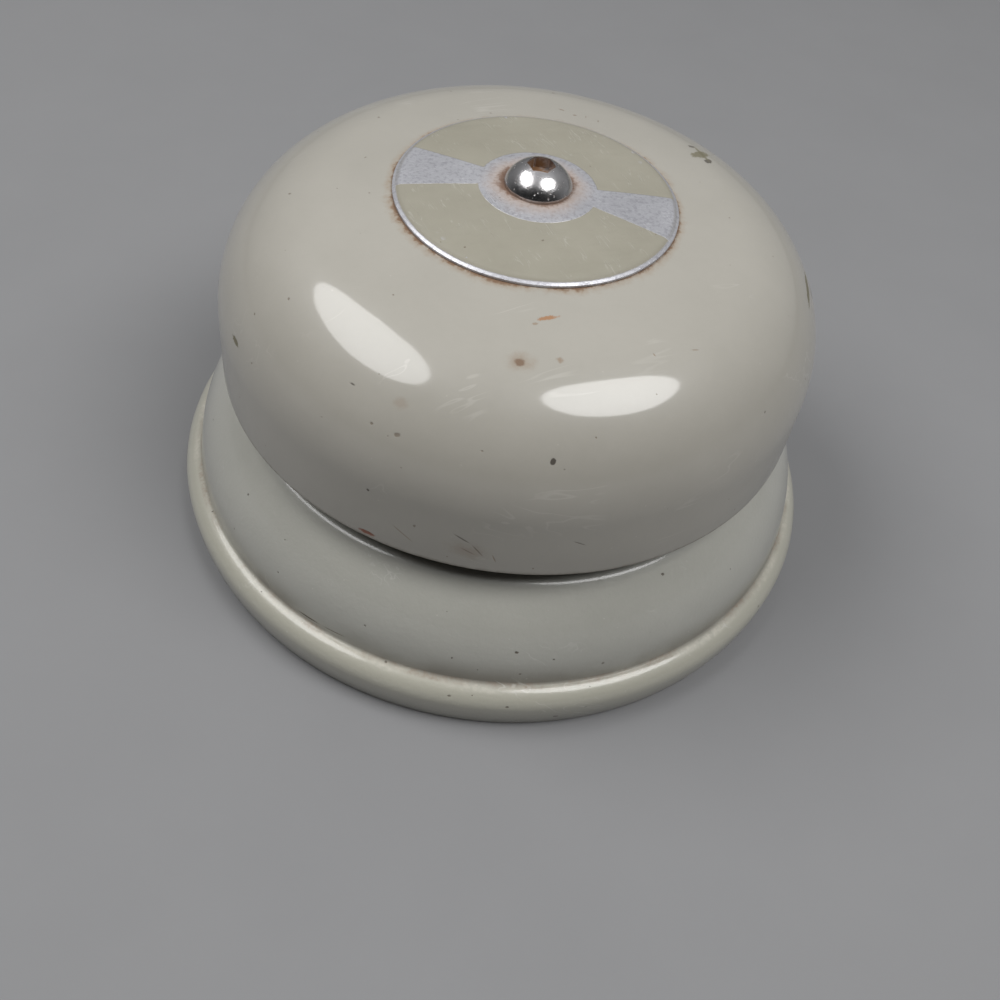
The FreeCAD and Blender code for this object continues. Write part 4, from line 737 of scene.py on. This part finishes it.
# The gong is drawn from 1.8 mm steel to a deep dome, drilled for its screw and
# sprayed warm light grey in thick gloss. The paint has yellowed, and it is
# chipped, spotted with rust from below and scuffed along the rim.
def gong_paint():
    finish, tree = new_finish("gong_paint")
    tone = lay(tree, cloudy, Size=0.022, Detail=6.0, Contrast=1.5)
    colour = tint(tree, tone, (0.390, 0.371, 0.325), (0.454, 0.432, 0.382))
    grain = lay(tree, cloudy, Size=0.0012, Detail=5.0, Contrast=1.5)
    colour = wash(tree, colour, grain, 0.10, (0.52, 0.49, 0.44))
    out = off_axis(tree)
    up = above(tree)
    # Rust creeps from under the disc, whose edge is 22.9 mm out, and the rim, 31.5 mm up, is
    # darker along its lower edge.
    creep = sway(tree, out, grain, 1.6 * MM)
    around = lay(tree, cloudy, Size=0.011, Detail=4.0, Contrast=2.4)
    creep = sway(tree, creep, around, -1.0 * MM)
    crown = ramp(tree, up, 60.0 * MM, 61.0 * MM)
    halo = times(tree, ramp(tree, creep, 24.6 * MM, 22.7 * MM), crown)
    colour = wash(tree, colour, halo, 0.55, (0.33, 0.22, 0.13))
    tight = times(tree, ramp(tree, creep, 23.5 * MM, 22.8 * MM), crown)
    colour = wash(tree, colour, tight, 0.75, (0.17, 0.085, 0.04))
    rim = ramp(tree, sway(tree, up, grain, 0.8 * MM), 32.6 * MM, 31.7 * MM)
    colour = wash(tree, colour, rim, 0.6, (0.15, 0.12, 0.09))
    dots = lay(tree, specked, Size=0.0026, Share=0.26, Width=0.12)
    grit = lay(tree, specked, Size=0.0075, Share=0.16, Width=0.07)
    lines = lay(tree, scratched, Size=0.009, Stretch=16.0, Amount=0.45, Turn=(0.3, 0.2, 1.1))
    specks = most(tree, dots, grit)
    dust = lay(tree, specked, Size=0.0016, Share=0.22, Width=0.11)
    colour = wash(tree, colour, specks, 0.6, (0.16, 0.12, 0.08))
    colour = wash(tree, colour, most(tree, lines, dust), 0.3, (0.60, 0.58, 0.53))
    brown, rust, soot = (0.19, 0.115, 0.07), (0.38, 0.17, 0.06), (0.06, 0.05, 0.04)
    stain, olive, red = (0.30, 0.225, 0.16), (0.17, 0.155, 0.10), (0.28, 0.10, 0.06)
    colour, worn = mark_up(tree, colour, [
        ((1.3, -37.1, 62.1), 0, 2.8, 2.1, 0.5, 0.9, stain, 0.6),
        ((1.3, -37.1, 62.1), 0, 0.95, 0.75, 0.5, 0.5, brown, 0.8),
        ((6.8, -35.6, 62.4), 10, 0.8, 0.6, 0.6, 0.7, stain, 0.8),
        ((4.3, -28.5, 63.6), -25, 1.9, 0.45, 0.7, 0.5, rust, 0.8),
        ((2.6, -30.0, 63.5), -25, 0.6, 0.3, 0.7, 0.5, stain, 0.7),
        ((8.0, -47.0, 53.7), 0, 0.45, 0.6, 0.3, 0.3, soot, 0.9),
        ((9.8, -47.3, 52.8), 0, 0.25, 0.25, 0.3, 0.3, soot, 0.5),
        ((-14.2, -43.2, 56.6), 0, 1.4, 1.2, 0.6, 0.8, stain, 0.35),
        ((-21.5, -40.5, 56.2), 30, 0.75, 0.22, 0.4, 0.4, soot, 0.75),
        ((-42.2, -26.9, 48.3), 60, 1.7, 0.55, 0.6, 0.3, olive, 0.9),
        ((-42.0, -27.0, 50.4), 60, 0.9, 0.35, 0.6, 0.3, soot, 0.7),
        ((27.2, 23.5, 62.5), -50, 3.8, 1.1, 0.6, 0.35, olive, 0.85),
        ((28.4, 21.5, 62.6), -60, 1.3, 0.7, 0.6, 0.35, soot, 0.8),
        ((25.4, 25.5, 62.4), -40, 0.9, 0.5, 0.6, 0.35, soot, 0.7),
        scratch((25.6, 26.6, 62.2), (28.9, 20.6, 62.6), 0.55, olive, 0.8),
        ((4.4, 27.3, 63.8), 0, 0.5, 0.22, 0.5, 0.4, brown, 0.7),
        ((6.4, 27.6, 63.8), 90, 0.6, 0.2, 0.5, 0.4, brown, 0.7),
        ((8.6, 26.8, 63.8), 90, 0.6, 0.2, 0.5, 0.4, brown, 0.7),
        ((2.0, 28.6, 63.6), 20, 0.7, 0.2, 0.5, 0.4, brown, 0.6),
        ((46.6, -0.5, 55.2), 85, 5.5, 0.8, 0.6, 0.3, olive, 0.9),
        ((48.0, 3.0, 52.8), 80, 3.0, 0.5, 0.6, 0.3, soot, 0.8),
        ((39.0, -28.6, 52.4), 70, 0.8, 0.2, 0.4, 0.4, soot, 0.6),
        ((-17.5, -47.7, 32.9), 20, 1.7, 0.55, 0.5, 0.5, red, 0.9),
        scratch((-4.6, -50.6, 39.4), (-1.4, -50.8, 37.6), 0.20, soot, 0.6),
        scratch((-1.8, -50.8, 38.0), (0.8, -50.8, 34.9), 0.17, soot, 0.6),
        scratch((-3.4, -50.7, 36.6), (-0.4, -50.8, 35.2), 0.16, soot, 0.5),
        scratch((1.6, -50.8, 36.4), (2.6, -50.7, 34.0), 0.16, stain, 0.7),
        scratch((-14.2, -48.8, 37.6), (-9.6, -49.9, 34.4), 0.14, stain, 0.6),
        ((-2.0, -50.8, 36.0), 0, 4.6, 2.4, 0.7, 0.9, stain, 0.35),
        scratch((13.0, -49.1, 40.0), (15.6, -48.4, 38.6), 0.16, soot, 0.5),
        ((-17.6, -47.7, 42.5), 0, 0.3, 0.3, 0.4, 0.4, soot, 0.8),
        ((20.2, -31.1, 62.1), 40, 0.9, 0.12, 0.4, 0.4, stain, 0.8),
        ((26.0, -28.0, 61.6), -20, 1.6, 0.12, 0.4, 0.4, stain, 0.6),
        ((-28.0, -10.0, 63.0), 15, 2.2, 0.12, 0.4, 0.5, stain, 0.5),
        ((-15.0, 33.0, 62.6), 5, 1.8, 0.14, 0.4, 0.5, stain, 0.6),
        ((10.0, 46.0, 55.0), 5, 1.1, 0.6, 0.7, 0.4, olive, 0.8),
        ((-33.0, 37.0, 48.0), -45, 1.8, 0.4, 0.7, 0.4, soot, 0.7),
        ((-20.0, 46.6, 36.0), 20, 3.6, 0.14, 0.5, 0.5, soot, 0.5),
        ((42.0, 28.5, 44.0), -60, 1.5, 0.5, 0.7, 0.4, brown, 0.7),
    ])
    gloss = between(tree, grain, 0.30, 0.42)
    dull = most(tree, worn, tight, times(tree, rim, 0.7))
    skin = lay(tree, cloudy, Size=0.0032, Detail=2.0, Contrast=1.0)
    height = less(tree, times(tree, skin, 0.5), times(tree, most(tree, worn, specks), 0.8))
    return coat(finish, colour, between(tree, dull, gloss, 0.7), height, 0.00005, Coat_IOR=1.65,
                Coat_Weight=between(tree, dull, 0.75, 0.0), Coat_Roughness=0.075, Specular_IOR_Level=0.25)


GONG, GONG_RIM, GONG_SHEET = 50.8, 31.5, 1.8
SHOULDER, CROWN, CROWN_TOP, GONG_HOLE = 20.5, 238.0, 65.4, 3.4
RIM_ROUND, WALL_RING = 0.6, 37.0
crown_middle = CROWN_TOP - CROWN
shoulder_out = GONG - SHOULDER
shoulder_up = crown_middle + math.sqrt((CROWN - SHOULDER) ** 2 - shoulder_out ** 2)
meet = math.degrees(math.atan2(shoulder_up - crown_middle, shoulder_out))


def dome(depth, steps):
    """The crown and shoulder of the gong, this deep below its outside."""
    start = math.degrees(math.acos(GONG_HOLE / (CROWN - depth)))
    return (arc(0, crown_middle, CROWN - depth, start, meet, steps // 3)
            + arc(shoulder_out, shoulder_up, SHOULDER - depth, meet, 0, steps)[1:])


gong_profile = (
    dome(0, 48) + [(GONG, WALL_RING)]
    + arc(GONG - RIM_ROUND, GONG_RIM + RIM_ROUND, RIM_ROUND, 0, -90, 6)
    + arc(GONG - GONG_SHEET + RIM_ROUND, GONG_RIM + RIM_ROUND, RIM_ROUND, 270, 180, 5)
    + [(GONG - GONG_SHEET, WALL_RING)] + dome(GONG_SHEET, 30)[::-1])
gong_profile.reverse()
gong = turn_up("gong_dome", gong_profile, gong_paint(), steps=384, uneven=0.16, wave=21, seed=8)
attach(gong, "gong_set")
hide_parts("gong")


# The disc is pressed from thin aluminium and enamelled olive grey in two fields,
# which leave a bare bow tie, hub and edge. It is clamped under the screw, and
# rust from the screw has spread over its hub. Its fields are left plain.
def disc_enamel():
    finish, tree = new_finish("disc_aluminium")
    out = off_axis(tree)
    tone = lay(tree, cloudy, Size=0.009, Detail=6.0, Contrast=1.8)
    fine = lay(tree, cloudy, Size=0.0006, Detail=4.0, Contrast=1.8)
    brushed = lay(tree, scratched, Size=0.0010, Stretch=26.0, Amount=1.2, Turn=(0.0, 0.0, 1.15))
    nicks = lay(tree, scratched, Size=0.0030, Stretch=9.0, Amount=0.6, Turn=(0.0, 0.0, -0.6))
    bare = tint(tree, tone, (0.50, 0.50, 0.53), (0.68, 0.68, 0.715))
    bare = wash(tree, bare, brushed, 0.45, (0.86, 0.86, 0.89))
    bare = wash(tree, bare, ramp(tree, fine, 0.45, 0.8), 0.5, (0.33, 0.32, 0.36))
    # The bow tie lies 4 degrees off x and is 29 degrees wide. On its edges, the distance aside
    # is this share of the distance out.
    bow_turn, bow_share = math.radians(4.0), 0.252
    turned = put(tree, "ShaderNodeVectorRotate", {"Vector": spot_on(tree), "Angle": bow_turn},
                 rotation_type="Z_AXIS").outputs[0]
    aside = reckon(tree, "ABSOLUTE", put(tree, "ShaderNodeSeparateXYZ", {0: turned}).outputs[1])
    edge = less(tree, sway(tree, aside, fine, 0.10 * MM), times(tree, out, bow_share))
    # The fields lie between the bare hub and the bare edge, where the enamel has chipped.
    inner = sway(tree, out, fine, 0.12 * MM)
    field = times(tree, ramp(tree, edge, -0.04 * MM, 0.06 * MM), ramp(tree, inner, 9.45 * MM, 9.60 * MM),
                  ramp(tree, inner, 22.42 * MM, 22.26 * MM))
    chips = times(tree, lay(tree, specked, Size=0.0016, Share=0.5, Width=0.34),
                  ramp(tree, out, 20.0 * MM, 21.9 * MM), ramp(tree, tone, 0.45, 0.7))
    field = times(tree, field, less(tree, 1.0, chips))
    enamel = tint(tree, tone, (0.315, 0.296, 0.238), (0.365, 0.345, 0.282))
    enamel = wash(tree, enamel, nicks, 0.3, (0.55, 0.54, 0.48))
    colour = tint(tree, field, bare, enamel)
    edge_dirt = times(tree, ramp(tree, inner, 21.7 * MM, 22.2 * MM), ramp(tree, inner, 22.6 * MM, 22.4 * MM))
    colour = wash(tree, colour, times(tree, edge_dirt, tone), 0.5, (0.20, 0.17, 0.12))
    # Rust has spread from under the screw's head.
    creep = sway(tree, sway(tree, out, fine, -1.1 * MM), tone, -2.2 * MM)
    wide = ramp(tree, creep, 9.4 * MM, 5.8 * MM)
    tight = ramp(tree, creep, 6.6 * MM, 5.4 * MM)
    colour = wash(tree, colour, wide, 0.7, (0.43, 0.32, 0.245))
    colour = wash(tree, colour, tight, 0.8, (0.16, 0.075, 0.035))
    dots = lay(tree, specked, Size=0.0019, Share=0.14, Width=0.13)
    colour = wash(tree, colour, dots, 0.7, (0.12, 0.09, 0.06))
    cover = most(tree, field, times(tree, wide, 0.75), dots)
    shine = between(tree, cover, between(tree, brushed, 0.42, 0.28), between(tree, fine, 0.30, 0.46))
    height = reckon(tree, "MULTIPLY_ADD", field, -0.9, times(tree, fine, 0.16))
    height = less(tree, less(tree, height, times(tree, brushed, 0.10)), times(tree, nicks, 0.3))
    return coat(finish, colour, shine, height, 0.00008, Metallic=between(tree, cover, 0.55, 0.0))


# The hub rises in a gentle slope from the disc's flat.
SEAT, DISC, DISC_SHEET, DISC_BEVEL, BEVEL_DROP, DISC_EDGE = 0.05, 22.9, 0.85, 1.2, 0.45, 0.06
HUB, HUB_EDGE, HUB_RISE = 6.4, 10.4, 0.25
HUB_TOP = CROWN_TOP + SEAT + DISC_SHEET + HUB_RISE


def crown_line(lift, start, end, steps):
    """A line that follows the crown this far above it, from one radius to another."""
    reach = CROWN + lift
    first, last = (math.degrees(math.acos(radius / reach)) for radius in (start, end))
    return arc(0, crown_middle, reach, first, last, steps)


bevel_foot = crown_line(SEAT, DISC, DISC, 1)[0][1] + DISC_SHEET - BEVEL_DROP
disc_profile = (
    crown_line(SEAT, GONG_HOLE, DISC, 12)
    + [(DISC, bevel_foot - DISC_EDGE), (DISC - DISC_EDGE, bevel_foot)]
    + crown_line(SEAT + DISC_SHEET, DISC - DISC_BEVEL, HUB_EDGE, 16)
    + [(HUB, HUB_TOP), (GONG_HOLE, HUB_TOP)])
disc = turn_up("disc", disc_profile, disc_enamel(), steps=256, uneven=0.03, wave=9, seed=2)
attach(disc, "gong_set")
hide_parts("label_plate")


# The centre screw is a plated button head with a hexagon socket. It clamps disc
# and gong to the post, and its socket has rusted inside. Its own solid stays.
def screw_plating():
    finish, tree = new_finish("bright_plating")
    up = above(tree)
    tone = lay(tree, cloudy, Size=0.0022, Detail=6.0, Contrast=2.0)
    pits = lay(tree, specked, Size=0.0006, Share=0.55, Width=0.34)
    colour = tint(tree, tone, (0.52, 0.50, 0.50), (0.74, 0.73, 0.74))
    # Rust lies in the socket, 2 mm out, and creeps up the head from the disc, 66 mm up.
    within = ramp(tree, off_axis(tree), 2.36 * MM, 2.16 * MM)
    socket = times(tree, within, ramp(tree, up, 70.3 * MM, 69.8 * MM))
    lip = ramp(tree, reckon(tree, "MULTIPLY_ADD", tone, -1.2 * MM, up), 66.5 * MM, 66.0 * MM)
    rust = most(tree, times(tree, socket, ramp(tree, tone, 0.1, 0.6)), times(tree, lip, 0.8))
    colour = tint(tree, rust, colour, (0.20, 0.105, 0.05))
    colour = wash(tree, colour, pits, 0.6, (0.18, 0.15, 0.14))
    shine = between(tree, most(tree, rust, pits), between(tree, tone, 0.30, 0.15), 0.6)
    height = less(tree, times(tree, tone, 0.6), pits)
    return coat(finish, colour, shine, height, 0.00006, Metallic=ramp(tree, rust, 1.0, 0.2))


dress(screw_plating(), "gong_screw")


# The stage: a plain pale floor, two soft lamps where the windows were, and a
# soft sky that is brightest overhead and dark in front, where the viewer stands.
# The lens is 0.2 m from the gong and looks down at 48 degrees.
FLOOR_REACH, FLOOR_HEIGHT = 3.0, -0.00005
floor_mesh = bpy.data.meshes.new("floor")
corners = [(x * FLOOR_REACH, y * FLOOR_REACH, FLOOR_HEIGHT) for x, y in ((-1, -1), (1, -1), (1, 1), (-1, 1))]
floor_mesh.from_pydata(corners, [], [(0, 1, 2, 3)])
floor = stand("floor", floor_mesh)
floor_finish, tree = new_finish("pale_floor")
cloud = lay(tree, cloudy, Size=0.03, Detail=8.0, Contrast=0.8)
floor_colour = tint(tree, cloud, (0.255, 0.255, 0.26), (0.285, 0.285, 0.29))
floor_mesh.materials.append(coat(floor_finish, floor_colour, 0.9, Specular_IOR_Level=0.1))

# How strong the sky is overhead, at the back, on the right, at least, and in front.
OVERHEAD, BACK, FLANK, LEAST, FRONT = 0.42, 0.17, 0.08, 0.03, 0.015
world = bpy.data.worlds.new("studio")
world.use_nodes = True
bpy.context.scene.world = world
air = world.node_tree
sky = air.nodes["Background"]
facing = put(air, "ShaderNodeSeparateXYZ", {0: put(air, "ShaderNodeTexCoord").outputs["Generated"]}).outputs
overhead = reckon(air, "POWER", most(air, facing[2], 0.0), 3.0)
back = times(air, ramp(air, facing[1], -0.3, 0.7), BACK)
flank = reckon(air, "MULTIPLY_ADD", ramp(air, facing[0], 0.2, 0.9), FLANK, LEAST)
level = reckon(air, "MULTIPLY_ADD", overhead, OVERHEAD, reckon(air, "ADD", back, flank))
front = times(air, ramp(air, facing[1], -0.10, -0.45), ramp(air, facing[2], 0.90, 0.70))
air.links.new(between(air, front, level, FRONT), sky.inputs["Strength"])
sky.inputs["Color"].default_value = (0.97, 0.985, 1.0, 1)


def lamp(name, aim, distance, width, height, power, turn):
    """A soft oval lamp that lights the gong from the given direction."""
    light = bpy.data.lights.new(name, "AREA")
    light.shape = "ELLIPSE"
    light.size, light.size_y, light.energy = width, height, power
    fixture = stand(name, light)
    target, aim = Vector((0, -0.03, 0.055)), Vector(aim).normalized()
    fixture.location = target + aim * distance
    roll = Matrix.Rotation(math.radians(turn), 3, "Z").to_quaternion()
    fixture.rotation_euler = (aim.to_track_quat("Z", "Y") @ roll).to_euler()


lamp("left_window", (-0.575, -0.04, 0.81), distance=0.9, width=0.80, height=0.47, power=4.6, turn=10)
lamp("right_window", (0.465, -0.22, 0.86), distance=0.9, width=0.62, height=0.47, power=4.5, turn=-30)

LENS_AT = Vector((0.0, -0.15842, 0.16928))
right = Vector((0.98777, 0.10986, 0.11062))
up = Vector((-0.15560, 0.73876, 0.65576))
ahead = Vector((0.00968, 0.66495, -0.74682))
FOCAL_PIXELS, FRAME_PIXELS, SENSOR = 1156.8, 1000, 36
lens = bpy.data.cameras.new("lens")
lens.lens = FOCAL_PIXELS * SENSOR / FRAME_PIXELS
lens.sensor_width = SENSOR
lens.clip_start, lens.clip_end = 0.005, 20
camera = stand("camera", lens)
camera.matrix_world = Matrix((right, up, -ahead)).transposed().to_4x4()
camera.location = LENS_AT
bpy.context.scene.camera = camera
bpy.context.scene.view_settings.view_transform = "Standard"
